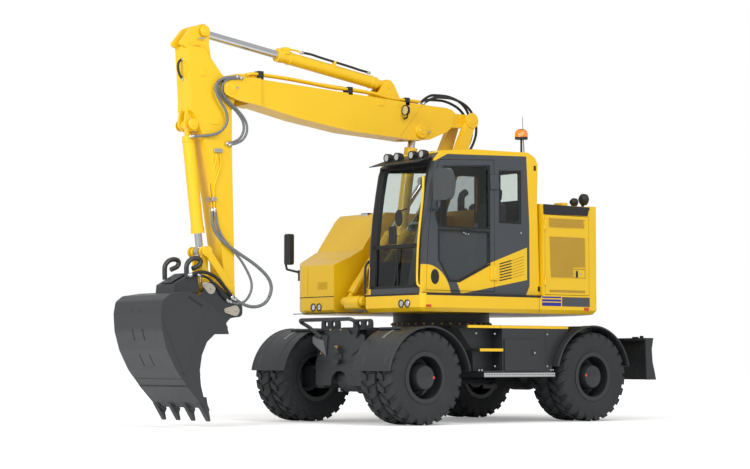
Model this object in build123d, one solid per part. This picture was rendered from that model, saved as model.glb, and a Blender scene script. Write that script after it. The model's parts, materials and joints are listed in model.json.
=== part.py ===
"""Wheeled excavator of the 16 tonne class: two-piece boom, twin tyres, rear dozer blade.

Millimetres. While it is drawn, X points forward, Y to the left and Z up, and the slewing axis stands at
X = 0, Y = 0 on the ground. At the end every piece is moved along X, so that the origin of the
finished machine lies on the ground under the middle of its length.
"""
from build123d import *
import math
import os

# Running gear
wheelbase = 2600
tyre_diameter = 1055
tyre_width = 262
lug_count = 23
groove_depth = 30
lug_share = 0.56
twin_gap = 26
overall_width = 2550
bead_radius = 256
flange_radius = 290
flange_thickness = 12
bead_half_width = 94
rim_wall = 16
hub_radius = 142
hub_recess = 6
spindle_radius = 70
shaft_clearance = 0.3
kingpin_offset = 620
kingpin_radius = 62
steering_lock = 30
axle_tube_radius = 95
running_gap = 0.5

# Chassis
frame_half_width = 300
frame_top = 1085
frame_bottom = 840
centre_box_half_width = 400
side_box_width = 800
ring_radius = 590
ring_bottom = 1105
ring_joint = 1170
front_plate_x = 1535
lashing_eye_radius = 32
lashing_plate_thickness = 30
lashing_plate_x = 1430
lashing_eye_height = 1140
lashing_eye_places = (242, 380)
fender_radius = 600
fender_thickness = 12
fender_inner_edge = 640
fender_outer_edge = 1300
guard_bar_radius = 22
guard_bar_front = 1752
guard_bar_height = 1185
guard_bar_half_width = 530
gusset_reach = 486
tow_pin_x = 1579
tow_pin_radius = 16
tow_jaw_low = 673
tow_jaw_top = 857

# Dozer blade
blade_half_width = 1220
blade_top = 993
blade_bottom = 484
blade_pivot = (-1640, 600)
blade_cylinder_base = (-1640, 930)
blade_cylinder_eye = (-2190, 690)
blade_pin_radius = 25
blade_arm_place = 330
blade_arm_width = 60
blade_drop = 33

# Upper structure
tail_radius = 1850
house_half_width = 1250
house_front = 1345
front_corner_radius = 330
skirt_bottom = 1265
skirt_top = 1430
skirt_bevel = 45
deck_top = 1467
boom_bay = (-360, 240)
boom_bay_back = 900
boom_middle = -50
hood_front = -492
hood_side_end = -1260
hood_top = 2550
hood_wall = 40
counterweight_top = 1960
tank_front_height = 1840
tank_back = 300

# Cab
cab_right = 240
cab_left = 1200
cab_wall = 45
cab_floor = 1467
glass_thickness = 8
door_gap = 6
door_hinge_x = 222
door_bottom = 1500
door_hinge_stand = 14

# Boom pins, as (X, Z)
boom_foot = (450, 1660)
knuckle = (-380, 3615)
boom_tip = (3134, 3729)
lift_base = (1270, 1400)
lift_eye = (108, 2873)
lift_boss_depth = 20
adjust_base = (609, 2053)
adjust_barrel_radius = 72
adjust_eye = (397, 3438)
arm_cylinder_base = (840, 3955)
arm_lever_pin = (3469, 4327)
bucket_cylinder_base = (3613, 3288)
rocker_pin = (3136, 1522)
rocker_top_pin = (3435, 1905)
arm_tip = (3089, 1268)
coupler_link_pin = (3420, 1493)
pin_radius = 38
pin_clearance = 0.3
cheek_gap = 1.0

lower_boom_half_width = 105
fork_inner_half_width = 112
fork_outer_half_width = 190
upper_boom_half_width = 150
tip_half_width = 172
arm_half_width = 130
lift_cylinder_place = 165
bucket_half_width = 475


def outline(rows, place):
    """Closed wire of straight runs; each row is (u, v) or (u, v, corner radius)."""
    corners = [(Vector(*place(row[0], row[1])), row[2] if len(row) > 2 else 0) for row in rows]
    edges = []
    runs = []
    for i, (corner, radius) in enumerate(corners):
        before = (corners[i - 1][0] - corner).normalized()
        after = (corners[(i + 1) % len(corners)][0] - corner).normalized()
        if radius == 0:
            runs.append((corner, corner))
            continue
        half = math.radians(before.get_angle(after)) / 2
        reach = radius / math.tan(half)
        middle = corner + (before + after).normalized() * (radius / math.sin(half) - radius)
        runs.append((corner + before * reach, corner + after * reach))
        edges.append(Edge.make_three_point_arc(runs[-1][0], middle, runs[-1][1]))
    for i, run in enumerate(runs):
        start = runs[i - 1][1]
        if (run[0] - start).length > 1e-6:
            edges.append(Edge.make_line(start, run[0]))
    return Wire(edges)


def side_shape(rows, y0, y1):
    """Outline in X and Z, carried from y0 to y1."""
    face = Face(outline(rows, lambda u, v: (u, y0, v)))
    return Solid.extrude(face, Vector(0, y1 - y0, 0))


def plan_shape(rows, z0, z1):
    """Outline in X and Y, carried from z0 up to z1."""
    face = Face(outline(rows, lambda u, v: (u, v, z0)))
    return Solid.extrude(face, Vector(0, 0, z1 - z0))


def cross_shape(rows, x0, x1):
    """Outline in Y and Z, carried from x0 to x1."""
    face = Face(outline(rows, lambda u, v: (x0, u, v)))
    return Solid.extrude(face, Vector(x1 - x0, 0, 0))


def block(x0, x1, y0, y1, z0, z1):
    """Square-edged block between two corners."""
    return plan_shape([(x0, y0), (x1, y0), (x1, y1), (x0, y1)], z0, z1)


def bar(start, end, radius):
    """Round bar between two points."""
    start = Vector(*start)
    line = Vector(*end) - start
    plane = Plane(origin=start, z_dir=line)
    return Solid.make_cylinder(radius, line.length, plane)


def cross_bar(pin, y0, y1, radius):
    """Round bar along Y at a point of the side view."""
    return bar((pin[0], y0, pin[1]), (pin[0], y1, pin[1]), radius)


def turned(rows, centre):
    """Solid of revolution about a line along Y through centre; rows are (Y, radius)."""
    face = Face(outline(rows, lambda u, v: (centre[0], u, centre[1] + v)))
    return Solid.revolve(face, 360, Axis((centre[0], 0, centre[1]), (0, 1, 0)))


def mirrored(shape):
    """The same piece on the other side of the machine."""
    solids = [solid.mirror(Plane.XZ) for solid in shape.solids()]
    return solids[0] if len(solids) == 1 else Compound(children=solids)


def fused(first, *others):
    """One solid of pieces that touch."""
    result = first.fuse(*others)
    return result.clean()


def group(*shapes):
    """Pieces of one node that don't touch."""
    solids = []
    for shape in shapes:
        solids.extend(shape.solids())
    return Compound(children=solids)


def along(start, end, distance, offset=0):
    """Point of the side view at a distance from start towards end, moved left of that line."""
    dx = end[0] - start[0]
    dz = end[1] - start[1]
    length = math.hypot(dx, dz)
    ux = dx / length
    uz = dz / length
    return (start[0] + ux * distance - uz * offset, start[1] + uz * distance + ux * offset)


def distance(start, end):
    """Length of the line between two points of the side view."""
    return math.hypot(end[0] - start[0], end[1] - start[1])


def swept(points, radii, radius):
    """Tube of straight runs and tangent arcs."""
    path = FilletPolyline(*[Vector(*p) for p in points], radius=radii)
    plane = Plane(origin=path @ 0, z_dir=path % 0)
    ring = Wire(Edge.make_circle(radius, plane))
    return Solid.sweep(Face(ring), Wire(path.edges()))


pieces = {}
axle_height = tyre_diameter / 2
front_axle_x = wheelbase / 2
rear_axle_x = -wheelbase / 2
pair_width = 2 * tyre_width + twin_gap
pair_outer = overall_width / 2
pair_inner = pair_outer - pair_width
pair_middle = (pair_outer + pair_inner) / 2


def tyre_section(middle):
    """Half section of one tyre, as (Y, radius), from bead to tread and back."""
    top = tyre_diameter / 2 + 20
    half = tyre_width / 2
    rows = [(-bead_half_width, bead_radius), (-bead_half_width, flange_radius + 6), (-half, flange_radius + 75),
            (-half, top), (half, top), (half, flange_radius + 75), (bead_half_width, flange_radius + 6),
            (bead_half_width, bead_radius)]
    return [(middle + row[0],) + row[1:] for row in rows]


def lug_ring(centre, y0, y1, shift_share):
    """Toothed disc between y0 and y1: one lug with its groove a pitch, the shift in pitches from the ground up.

    The lug's corner nearest the ground touches it, which sets the radius of all its corners."""
    pitch = 2 * math.pi / lug_count
    corner = tyre_diameter / 2 / math.cos((0.5 - lug_share / 2) * pitch)
    root = tyre_diameter / 2 - groove_depth
    rows = []
    for number in range(lug_count):
        for radius, share in ((corner, -lug_share / 2), (corner, lug_share / 2), (root, 0.5)):
            angle = (number + shift_share + share) * pitch - math.pi / 2
            rows.append((centre[0] + radius * math.cos(angle), centre[1] + radius * math.sin(angle)))
    return side_shape(rows, y0, y1)


def lugged_tyre(middle, centre):
    """Tyre turned from its section, grooved so that the lugs of its two halves stand half a pitch apart."""
    reach = tyre_width / 2 + 5
    rings = fused(lug_ring(centre, middle - reach, middle, 0), lug_ring(centre, middle, middle + reach, 0.5))
    return turned(tyre_section(middle), centre).intersect(rings).solids()[0]


def wheel_section():
    """Section of the twin rims with their common disc and hub, as (Y, radius)."""
    inner = bead_radius - rim_wall
    disc = pair_middle - 20
    outer_flange = pair_outer - tyre_width / 2 + bead_half_width + flange_thickness
    inner_flange = pair_inner + tyre_width / 2 - bead_half_width - flange_thickness
    mid_out = pair_outer - tyre_width / 2 - bead_half_width
    mid_in = pair_inner + tyre_width / 2 + bead_half_width
    return [(inner_flange, inner), (inner_flange, flange_radius), (inner_flange + flange_thickness, flange_radius),
            (inner_flange + flange_thickness, bead_radius), (mid_in, bead_radius), (mid_in, flange_radius),
            (mid_in + flange_thickness, flange_radius), (mid_in + flange_thickness, bead_radius),
            (mid_out - flange_thickness, bead_radius), (mid_out - flange_thickness, flange_radius),
            (mid_out, flange_radius), (mid_out, bead_radius), (outer_flange - flange_thickness, bead_radius),
            (outer_flange - flange_thickness, flange_radius), (outer_flange, flange_radius), (outer_flange, inner),
            (disc + 70, inner, 20), (disc + 20, hub_radius + 30, 20), (outer_flange - 60, hub_radius + 4),
            (outer_flange - hub_recess, hub_radius - 12), (outer_flange - hub_recess, 0), (disc + 60, 0),
            (disc + 60, spindle_radius + shaft_clearance), (disc, spindle_radius + shaft_clearance),
            (disc, hub_radius + 40), (disc + 40, inner - 6), (disc + 40, inner)]


wheel_table = [("front_left", front_axle_x, False), ("front_right", front_axle_x, True),
               ("rear_left", rear_axle_x, False), ("rear_right", rear_axle_x, True)]
for name, x, right in wheel_table:
    centre = (x, axle_height)
    tyres = group(*[lugged_tyre(y, centre)
                    for y in (pair_outer - tyre_width / 2, pair_inner + tyre_width / 2)])
    wheel = turned(wheel_section(), centre)
    pieces["tyre_pair_" + name] = mirrored(tyres) if right else tyres
    pieces["wheel_" + name] = mirrored(wheel) if right else wheel

# Axles, knuckles and driveline
wheel_back = pair_middle - 20
knuckle_flange = wheel_back - 35


def fender(centre_x, centre_z, start, end):
    """Arched mudguard with a short lip at both ends; angles from straight ahead, over the top."""
    outer = Solid.make_cylinder(fender_radius, fender_outer_edge - fender_inner_edge,
                                Plane(origin=(centre_x, fender_outer_edge, centre_z), z_dir=(0, -1, 0)))
    inner = Solid.make_cylinder(fender_radius - fender_thickness, fender_outer_edge - fender_inner_edge + 20,
                                Plane(origin=(centre_x, fender_outer_edge + 10, centre_z), z_dir=(0, -1, 0)))
    far = 3 * fender_radius
    corner = [(centre_x, centre_z)]
    for angle in (start, 45, 90, 135, end):
        a = math.radians(angle)
        corner.append((centre_x + far * math.cos(a), centre_z + far * math.sin(a)))
    wedge = side_shape(corner, fender_inner_edge - 1, fender_outer_edge + 1)
    return outer.cut(inner).intersect(wedge).solids()[0]


def front_knuckle():
    """Steering knuckle with its yoke, hub flange, spindle, steering arm, fender post and fender."""
    x = front_axle_x
    z = axle_height
    ear_gap = 92
    ear = 38
    flange = turned([(knuckle_flange - 40, 0), (knuckle_flange - 40, 165), (wheel_back - running_gap, 165),
                     (wheel_back - running_gap, spindle_radius), (wheel_back + 50, spindle_radius), (wheel_back + 50, 0)],
                    (x, z))
    parts = [flange]
    for low in (z + ear_gap, z - ear_gap - ear):
        parts.append(plan_shape([(x - 75, kingpin_offset - 20, 30), (x + 75, kingpin_offset - 20, 30),
                                 (x + 95, knuckle_flange), (x - 95, knuckle_flange)], low, low + ear))
        parts.append(bar((x, kingpin_offset, low), (x, kingpin_offset, low + ear), kingpin_radius))
    web = block(x - 95, x + 95, kingpin_offset + 85, knuckle_flange - 20, z - ear_gap - ear, z + ear_gap + ear)
    parts.append(web)
    parts.append(plan_shape([(x - 80, kingpin_offset + 90), (x - 80, kingpin_offset + 40), (x - 215, kingpin_offset - 30, 10),
                             (x - 245, kingpin_offset + 10, 10), (x - 130, kingpin_offset + 120)],
                            z - ear_gap - ear, z - ear_gap - ear + 25))
    post_top = z + 545
    post = side_shape([(x - 60, z + ear_gap), (x + 60, z + ear_gap), (x + 45, post_top), (x - 45, post_top)],
                      kingpin_offset + 36, kingpin_offset + 56)
    parts.append(post)
    arch = fender(x - 35, z - 30, 10.5, 170)
    shelf_top = z - 30 + fender_radius - fender_thickness
    beam = block(x - 60, x - 10, kingpin_offset + 36, fender_outer_edge - 120, shelf_top - 22, shelf_top - 3)
    seat = block(x - 60, x - 10, kingpin_offset + 36, fender_outer_edge - 120, shelf_top - 10, shelf_top + 4)
    return fused(*parts, beam, seat, arch)


pieces["knuckle_left"] = front_knuckle()
pieces["knuckle_right"] = mirrored(pieces["knuckle_left"])


def axle_beam(x, steered):
    """Axle housing from wheel to wheel with its differential bowl."""
    z = axle_height
    end = kingpin_offset - 80 if steered else wheel_back - running_gap
    rows = [(-end, 0), (-end, 80), (-end + 60, axle_tube_radius, 20), (-230, axle_tube_radius + 8, 60), (-150, 170, 60),
            (150, 170, 60), (230, axle_tube_radius + 8, 60), (end - 60, axle_tube_radius, 20), (end, 80), (end, 0)]
    beam = turned(rows, (x, z))
    nose = bar((x, 0, z), (x - math.copysign(265, x), 0, z), 85)
    parts = [beam, nose]
    if steered:
        for side in (-1, 1):
            parts.append(bar((x, side * kingpin_offset, z - 91.5), (x, side * kingpin_offset, z + 91.5), kingpin_radius))
            parts.append(block(x - 45, x + 45, min(side * (end - 40), side * kingpin_offset),
                               max(side * (end - 40), side * kingpin_offset), z - 70, z + 70))
        parts.append(block(x - 160, x + 160, -110, 110, z + 60, z + 240))
    else:
        for side in (-1, 1):
            y = side * wheel_back
            parts.append(bar((x, y - side * 60, z), (x, y + side * 50, z), spindle_radius))
            parts.append(bar((x, side * (wheel_back - 140), z), (x, side * (wheel_back - running_gap), z), 150))
        for side in (-1, 1):
            parts.append(block(x - 90, x + 90, side * 260 - 40, side * 260 + 40, z, frame_bottom))
        gearbox = block(x + 265, x + 520, -130, 130, z - 150, z + 180)
        parts.append(gearbox)
        parts.append(bar((x + 265, 0, z), (x + 200, 0, z), 85))
        parts.append(bar((x + 520, 0, z - 60), (front_axle_x - 267.5, 0, z), 42))
    return fused(*parts)


pieces["front_axle"] = axle_beam(front_axle_x, True)
pieces["rear_axle"] = axle_beam(rear_axle_x, False)

# Steering cylinder: barrel on the axle behind the beam, rods through both ends
steering_arm_x = front_axle_x - 225
steering_arm_z = axle_height - 92 - 38
steering_cylinder_z = steering_arm_z - 24
steering_rod_radius = 20
barrel = bar((steering_arm_x, -210, steering_cylinder_z), (steering_arm_x, 210, steering_cylinder_z), 42)
holder = block(steering_arm_x - 30, front_axle_x - 60, -60, 60, steering_cylinder_z - 10, axle_height - 60)
bore = bar((steering_arm_x, -220, steering_cylinder_z), (steering_arm_x, 220, steering_cylinder_z),
           steering_rod_radius + pin_clearance)
pieces["front_axle"] = fused(pieces["front_axle"], barrel, holder).cut(bore)
rod = bar((steering_arm_x, -570, steering_cylinder_z), (steering_arm_x, 570, steering_cylinder_z), steering_rod_radius)
eyes = [bar((steering_arm_x, side * 590, steering_cylinder_z - 22), (steering_arm_x, side * 590, steering_cylinder_z + 22), 36)
        for side in (-1, 1)]
pieces["steering_rods"] = fused(rod, *eyes)

# Main frame with pedestal, fixed slewing ring, front plate and lashing plates
pedestal = [Solid.make_cylinder(545, ring_bottom - frame_top, Plane(origin=(0, 0, frame_top))),
            Solid.make_cylinder(ring_radius, ring_joint - ring_bottom, Plane(origin=(0, 0, ring_bottom)))]
centre_box = plan_shape([(-860, -centre_box_half_width), (690, -centre_box_half_width), (690, centre_box_half_width),
                         (-860, centre_box_half_width)], 720, frame_top)
rails = side_shape([(-1620, frame_top), (front_plate_x - 10, frame_top), (front_plate_x - 10, frame_bottom),
                    (650, frame_bottom), (-1020, frame_bottom), (-1620, frame_bottom)],
                   -frame_half_width, frame_half_width)
tail_plates = [side_shape([(-1700, 1000, 30), (-1540, 1000), (-1530, 520, 30), (-1700, 520, 60)],
                          side * place - 20, side * place + 20)
               for side in (-1, 1) for place in (blade_arm_place - 62, blade_arm_place + 62)]
blade_pins = [cross_bar(pin, side * blade_arm_place - 70, side * blade_arm_place + 70, blade_pin_radius)
              for side in (-1, 1) for pin in (blade_pivot, blade_cylinder_base)]
tail_block = block(-1640 + 80, -1500, -blade_arm_place - 82, blade_arm_place + 82, 700, 1000)
notch = 155
front_plate = cross_shape([(-157, frame_top), (157, frame_top), (358, 821), (445, 709), (445, 433, 20), (notch, 433),
                           (notch, 600, 150), (-notch, 600, 150), (-notch, 433), (-445, 433, 20), (-445, 709), (-358, 821)],
                          front_plate_x - 10, front_plate_x + 10)
pivot_plates = [block(front_axle_x + side * 180 - 20, front_axle_x + side * 180 + 20, -150, 150, axle_height + 130,
                      frame_bottom + 20) for side in (-1, 1)]
deck = block(lashing_plate_x - 60, front_plate_x, -471, 471, frame_top - 20, frame_top)
lashing = []
for side in (-1, 1):
    near = side * 131
    far = side * 471
    plate = cross_shape([(near, frame_top), (far, frame_top), (far, 1190, 45), (near, 1190, 45)],
                        lashing_plate_x - lashing_plate_thickness / 2, lashing_plate_x + lashing_plate_thickness / 2)
    for place in lashing_eye_places:
        plate = plate.cut(bar((lashing_plate_x - 50, side * place, lashing_eye_height),
                              (lashing_plate_x + 50, side * place, lashing_eye_height), lashing_eye_radius))
    lashing.append(plate)
pieces["chassis_frame"] = fused(rails, centre_box, *pedestal, tail_block, *tail_plates, *blade_pins, front_plate, *pivot_plates,
                                deck, *lashing)

# Front guard: tube loop, gusset plates and towing jaw on the front plate
guard_thickness = 12
guard_x = front_plate_x + 10 + guard_thickness / 2
bar_z = guard_bar_height
half = guard_bar_half_width
loop_points = [(guard_x, -330, 985), (front_plate_x + 95, -half + 60, bar_z - 75), (guard_bar_front, -half, bar_z),
               (guard_bar_front, half, bar_z), (front_plate_x + 95, half - 60, bar_z - 75), (guard_x, 330, 985)]
loop = swept(loop_points, 60, guard_bar_radius)
loop = loop.cut(block(front_plate_x - 60, front_plate_x + 10, -500, 500, 900, 1200))
jaw_z = (tow_jaw_low + tow_jaw_top) / 2
jaw = cross_shape([(-62, tow_jaw_top, 55), (62, tow_jaw_top, 55), (62, tow_jaw_low, 50), (-62, tow_jaw_low, 50)],
                  front_plate_x + 10, front_plate_x + 70)
jaw = jaw.cut(block(front_plate_x + 25, front_plate_x + 90, -70, 70, jaw_z - 35, jaw_z + 35))
jaw = jaw.cut(bar((tow_pin_x, 0, tow_jaw_low - 20), (tow_pin_x, 0, tow_jaw_top + 20), tow_pin_radius))
gussets = [cross_shape([(side * 200, 1010), (side * 232, 766), (side * 445, 880), (side * gusset_reach, 925),
                        (side * gusset_reach, 1000), (side * 400, 1025)],
                       front_plate_x + 10, front_plate_x + 10 + guard_thickness) for side in (-1, 1)]
pieces["front_guard"] = fused(loop, *gussets)
pieces["tow_jaw"] = jaw

# Side boxes with steps; the left one takes the tool box door
box_table = [("left", 1), ("right", -1)]
box_rows = [(630, 1085), (-939, 1085), (-725, 747), (-723, 525), (405, 525), (405, 590), (419, 837)]
box_outer = centre_box_half_width + side_box_width
tool_bay = (-430, 70, 615, 950)
tool_bay_depth = 420
tread_thickness = 34
step_bay = (110, 395, 600)
for name, side in box_table:
    body = side_shape(box_rows, centre_box_half_width, box_outer)
    body = body.cut(cross_bar((rear_axle_x + 25, axle_height), centre_box_half_width - 10, box_outer + 10,
                              fender_radius + door_gap))
    body = body.cut(block(step_bay[0], 700, box_outer - 170, box_outer + 10, step_bay[2], 1085))
    body = body.cut(block(tool_bay[0], tool_bay[1], box_outer - tool_bay_depth, box_outer + 10, tool_bay[2], tool_bay[3]))
    treads = [block(-939, 630, box_outer - 300, box_outer, 1085, 1085 + tread_thickness),
              block(step_bay[0] - 20, 455, box_outer - 172, box_outer, 820, 820 + tread_thickness),
              block(-715, 400, box_outer - 120, box_outer + 12, 525, 585)]
    box = fused(body, *treads)
    pieces["side_box_" + name] = box if side > 0 else mirrored(box)
door_lap = 12
door_sheet = 14
lid = block(tool_bay[0] - door_lap, tool_bay[1] + door_lap, box_outer + running_gap, box_outer + running_gap + door_sheet,
            tool_bay[2] - door_lap, tool_bay[3] + door_lap)
pieces["toolbox_door_left"] = lid
pieces["toolbox_door_right"] = mirrored(lid)

rear_fender = fender(rear_axle_x + 25, axle_height, 12, 168)
fender_arm = block(rear_axle_x - 30, rear_axle_x + 30, frame_half_width, fender_inner_edge + 250,
                   axle_height + fender_radius - fender_thickness - 40, axle_height + fender_radius - fender_thickness + 2)
rear_fender = fused(rear_fender, fender_arm)
pieces["rear_fenders"] = group(rear_fender, mirrored(rear_fender))

# Dozer blade with its arms and cylinder ears
blade_face = [(-2218, blade_top), (-2355, blade_top), (-2325, 860, 200), (-2338, 700, 200), (-2400, blade_bottom)]
board = side_shape(blade_face + [(-2368, blade_bottom), (-2306, 700, 190), (-2293, 860, 190), (-2310, blade_top - 30),
                                 (-2218, blade_top - 30)], -blade_half_width, blade_half_width)
blade_parts = [board]
ear_start = blade_arm_width / 2
for side in (-1, 1):
    blade_parts.append(side_shape(blade_face + [(-2230, blade_bottom)], side * blade_half_width - 12,
                                  side * blade_half_width + 12))
    y = side * blade_arm_place
    beam = side_shape([(-1590, 600, 40), (-1600, 645, 40), (-1720, 640, 20), (-2150, 600, 60), (-2320, 640), (-2350, 560),
                       (-2150, 540, 60), (-1720, 560, 20), (-1600, 555, 40)], y - ear_start, y + ear_start)
    blade_parts.append(beam.cut(cross_bar(blade_pivot, y - 60, y + 60, blade_pin_radius + pin_clearance)))
    for out in (-1, 1):
        near = y + out * ear_start
        far = y + out * (ear_start + 16)
        blade_parts.append(side_shape([(-2120, 565), (-2140, 730, 50), (-2190, 740, 50), (-2240, 730, 50), (-2315, 640),
                                       (-2315, 565)], min(near, far), max(near, far)))
pieces["blade"] = fused(*blade_parts)


def ram(base, eye, place, barrel_radius, rod_radius, barrel_length, closing, eye_radius, eye_half, pin):
    """Barrel and rod of a hydraulic cylinder; closing is how far the rod still goes in."""
    root = along(base, eye, eye_radius - 12)
    start = along(base, eye, eye_radius + 62)
    neck = bar((root[0], place, root[1]), (start[0], place, start[1]), min(barrel_radius, eye_half) - 2)
    collar = along(base, eye, barrel_length - 70)
    end = along(base, eye, barrel_length)
    tube = bar((start[0], place, start[1]), (collar[0], place, collar[1]), barrel_radius)
    gland = bar((collar[0], place, collar[1]), (end[0], place, end[1]), barrel_radius + 7)
    ring = cross_bar(base, place - eye_half, place + eye_half, eye_radius)
    inner = along(base, eye, eye_radius + 70)
    past = along(base, eye, barrel_length + 20)
    barrel = fused(tube, gland, ring, neck)
    barrel = barrel.cut(bar((inner[0], place, inner[1]), (past[0], place, past[1]), rod_radius + pin_clearance),
                        cross_bar(base, place - eye_half - 5, place + eye_half + 5, pin + pin_clearance))
    tail = along(base, eye, eye_radius + 80 + closing)
    front = along(eye, base, eye_radius + 12)
    rod = bar((tail[0], place, tail[1]), (front[0], place, front[1]), rod_radius)
    shank = bar((front[0], place, front[1]), (eye[0], place, eye[1]), min(rod_radius, eye_half) - 2)
    head = cross_bar(eye, place - eye_half, place + eye_half, eye_radius)
    return barrel, fused(rod, shank, head)


blade_rams = [ram(blade_cylinder_base, blade_cylinder_eye, side * blade_arm_place, 38, 22, 480, 5, 42, 24, blade_pin_radius)
              for side in (-1, 1)]
pieces["blade_barrels"] = group(*[pair[0] for pair in blade_rams])
pieces["blade_rods"] = group(*[pair[1] for pair in blade_rams])

# Revolving platform: turntable, decks with bevelled skirts, boom foot brackets and the nose for the lift cylinders
bay_right, bay_left = boom_bay
plan = [(house_front, -house_half_width, front_corner_radius), (house_front, bay_right), (boom_bay_back, bay_right),
        (boom_bay_back, bay_left), (house_front, bay_left), (house_front, house_half_width, 60),
        (hood_side_end, house_half_width), (hood_side_end, -house_half_width)]
deck = plan_shape(plan, skirt_bottom, deck_top)
deck = deck.chamfer(skirt_bevel, None, [e for e in deck.edges().group_by(Axis.Z)[0] if abs(e.center().Y) > 1000])
turntable = Solid.make_cylinder(ring_radius - 20, skirt_bottom - ring_joint - running_gap,
                                Plane(origin=(0, 0, ring_joint + running_gap)))
bracket_parts = []
foot_boss = 110
for side in (-1, 1):
    near = boom_middle + side * (lower_boom_half_width + 5)
    far = boom_middle + side * (lower_boom_half_width + 45)
    rows = [(150, deck_top), (boom_foot[0] - foot_boss, boom_foot[1] + 40, 60), (boom_foot[0] - 60, boom_foot[1] + foot_boss, 60),
            (boom_foot[0] + 60, boom_foot[1] + foot_boss, 60), (boom_foot[0] + foot_boss, boom_foot[1], 60), (860, deck_top)]
    bracket_parts.append(side_shape(rows, min(near, far), max(near, far)))
foot_pin = cross_bar(boom_foot, boom_middle - lower_boom_half_width - 50, boom_middle + lower_boom_half_width + 50, 50)
nose = side_shape([(boom_bay_back - 20, 1270), (1330, 1310, 40), (1350, 1400, 60), (1300, 1470, 60),
                   (boom_bay_back - 20, 1440)], boom_middle - 128, boom_middle + 128)
nose_pin = cross_bar(lift_base, boom_middle - 202, boom_middle + 202, pin_radius)
pieces["platform"] = fused(deck, turntable, *bracket_parts, foot_pin, nose, nose_pin)

# Tank and pump housing on the right
tank_inner = bay_right
tank = side_shape([(house_front, deck_top), (house_front, tank_front_height), (1090, 1940), (915, 2035), (850, 2130, 80),
                   (640, 2420, 60), (560, hood_top - 60, 40), (hood_front + 5, hood_top - 60), (hood_front + 5, deck_top)],
                  -house_half_width, tank_inner)
front_post = [e for e in tank.edges() if abs(e.center().X - house_front) < 1 and abs(e.center().Y + house_half_width) < 1]
pieces["tank"] = tank.fillet(front_corner_radius, front_post)

# Engine hood, counterweight and engine
tail_cylinder = Solid.make_cylinder(tail_radius, 2000, Plane(origin=(0, 0, skirt_bottom)))
hood_half = house_half_width
shell = block(hood_side_end, hood_front, -hood_half, hood_half, deck_top, hood_top)
shell = shell.fillet(70, [e for e in shell.edges() if abs(e.center().Z - hood_top) < 1 and abs(e.center().X - hood_front) > 1
                          and abs(e.center().X - hood_side_end) > 1])
cavity = block(hood_side_end + 8, hood_front - hood_wall, -hood_half + hood_wall, hood_half - hood_wall,
               deck_top, hood_top - hood_wall)
service_opening = (hood_side_end + 14, hood_front - 30, deck_top + 16, 2426)
x0, x1, z0, z1 = service_opening
shell = shell.cut(cavity, block(x0, x1, hood_half - hood_wall - 5, hood_half + 5, z0, z1))
horn_inner = 750
lid = side_shape([(hood_side_end, counterweight_top + running_gap), (hood_side_end, hood_top - 30), (-1560, hood_top - 60, 60),
                  (-1760, 2330, 100), (-1790, counterweight_top + running_gap)], -horn_inner + 5, horn_inner - 5)
pieces["hood"] = fused(shell, lid)
mass = block(-tail_radius - 10, hood_side_end, -house_half_width, house_half_width, skirt_bottom, hood_top)
mass = mass.intersect(tail_cylinder).solids()[0]
mass = mass.cut(block(-tail_radius - 20, hood_side_end + 10, -horn_inner, horn_inner, counterweight_top, hood_top + 10))
mass = mass.chamfer(skirt_bevel, None, [e for e in mass.edges().group_by(Axis.Z)[0] if e.center().X < hood_side_end - 1])
pieces["counterweight"] = mass
pieces["engine"] = block(-1180, -620, -620, 620, deck_top, 2250)
door_thickness = 36
grille_slot = 18
grille_pitch = 42
service_door = block(x0 + door_gap, x1 - door_gap, hood_half - door_thickness, hood_half, z0 + door_gap, z1 - door_gap)
for low, high, front in ((1815, 2172, -602), (2282, 2384, -602)):
    z = low
    while z + grille_slot <= high:
        service_door = service_door.cut(block(-1176, front, hood_half - door_thickness - 5, hood_half + 5, z, z + grille_slot))
        z += grille_pitch
service_hinge = (x1 + 2, hood_half + 12)

# Cab: hollow shell, its glass, seat and controls
cab_rows = [(1309, cab_floor), (1294, 1778), (1279, 2057), (1249, 2338), (1204, 2620), (1160, 2847), (1101, 2986), (999, 3081),
            (548, 3122), (86, 3129), (-308, 3137), (-419, 3085), (-462, 3006), (-448, 2532), (-484, cab_floor)]


def cab_layer(depth, y0, y1):
    """Cab outline in the side view, drawn in by a depth, between two places in Y."""
    wire = outline(cab_rows, lambda u, v: (u, y0, v))
    if depth:
        wire = wire.offset_2d(-depth, kind=Kind.INTERSECTION)
    return Solid.extrude(Face(wire), Vector(0, y1 - y0, 0))


def window(rows, y0, y1):
    """Cutter for a window in a side wall."""
    return side_shape(rows, y0, y1)


door_rows = [(door_hinge_x, door_bottom), (1254, door_bottom), (1238, 1778), (1222, 2057), (1192, 2338), (1147, 2620),
             (1104, 2847), (1052, 2975, 40), (door_hinge_x, 3020)]
rear_side_window = [(-180, 2310, 40), (135, 2310, 40), (135, 2890, 40), (-180, 2905, 40)]
right_windows = [[(-330, 1850, 40), (160, 1850, 40), (160, 2930, 40), (-330, 2930, 40)],
                 [(240, 1850, 40), (1190, 1850, 60), (1180, 2338, 200), (1070, 2880, 60), (240, 2930, 40)]]
front_windows = [(360, 1115, 1555, 1985), (360, 1115, 2025, 2925)]
rear_window = (360, 1080, 2600, 2925)
wall_in = cab_left - cab_wall
shell = cab_layer(0, cab_right, cab_left).cut(cab_layer(cab_wall, cab_right + cab_wall, wall_in))
cutters = [window(door_rows, wall_in - 5, cab_left + 5), window(rear_side_window, wall_in - 5, cab_left + 5)]
cutters += [window(rows, cab_right - 5, cab_right + cab_wall + 5) for rows in right_windows]
front_cutters = [block(1000, 1400, *row) for row in front_windows]
rear_cutter = block(-560, -380, *rear_window)
pieces["cab_shell"] = shell.cut(*cutters, *front_cutters, rear_cutter)
glass_depth = 18
sheet = cab_layer(glass_depth, cab_right + 1, cab_left - 1).cut(
    cab_layer(glass_depth + glass_thickness, cab_right, cab_left))
panes = []
for cutter in front_cutters + [rear_cutter]:
    panes += sheet.intersect(cutter).solids()
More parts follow.
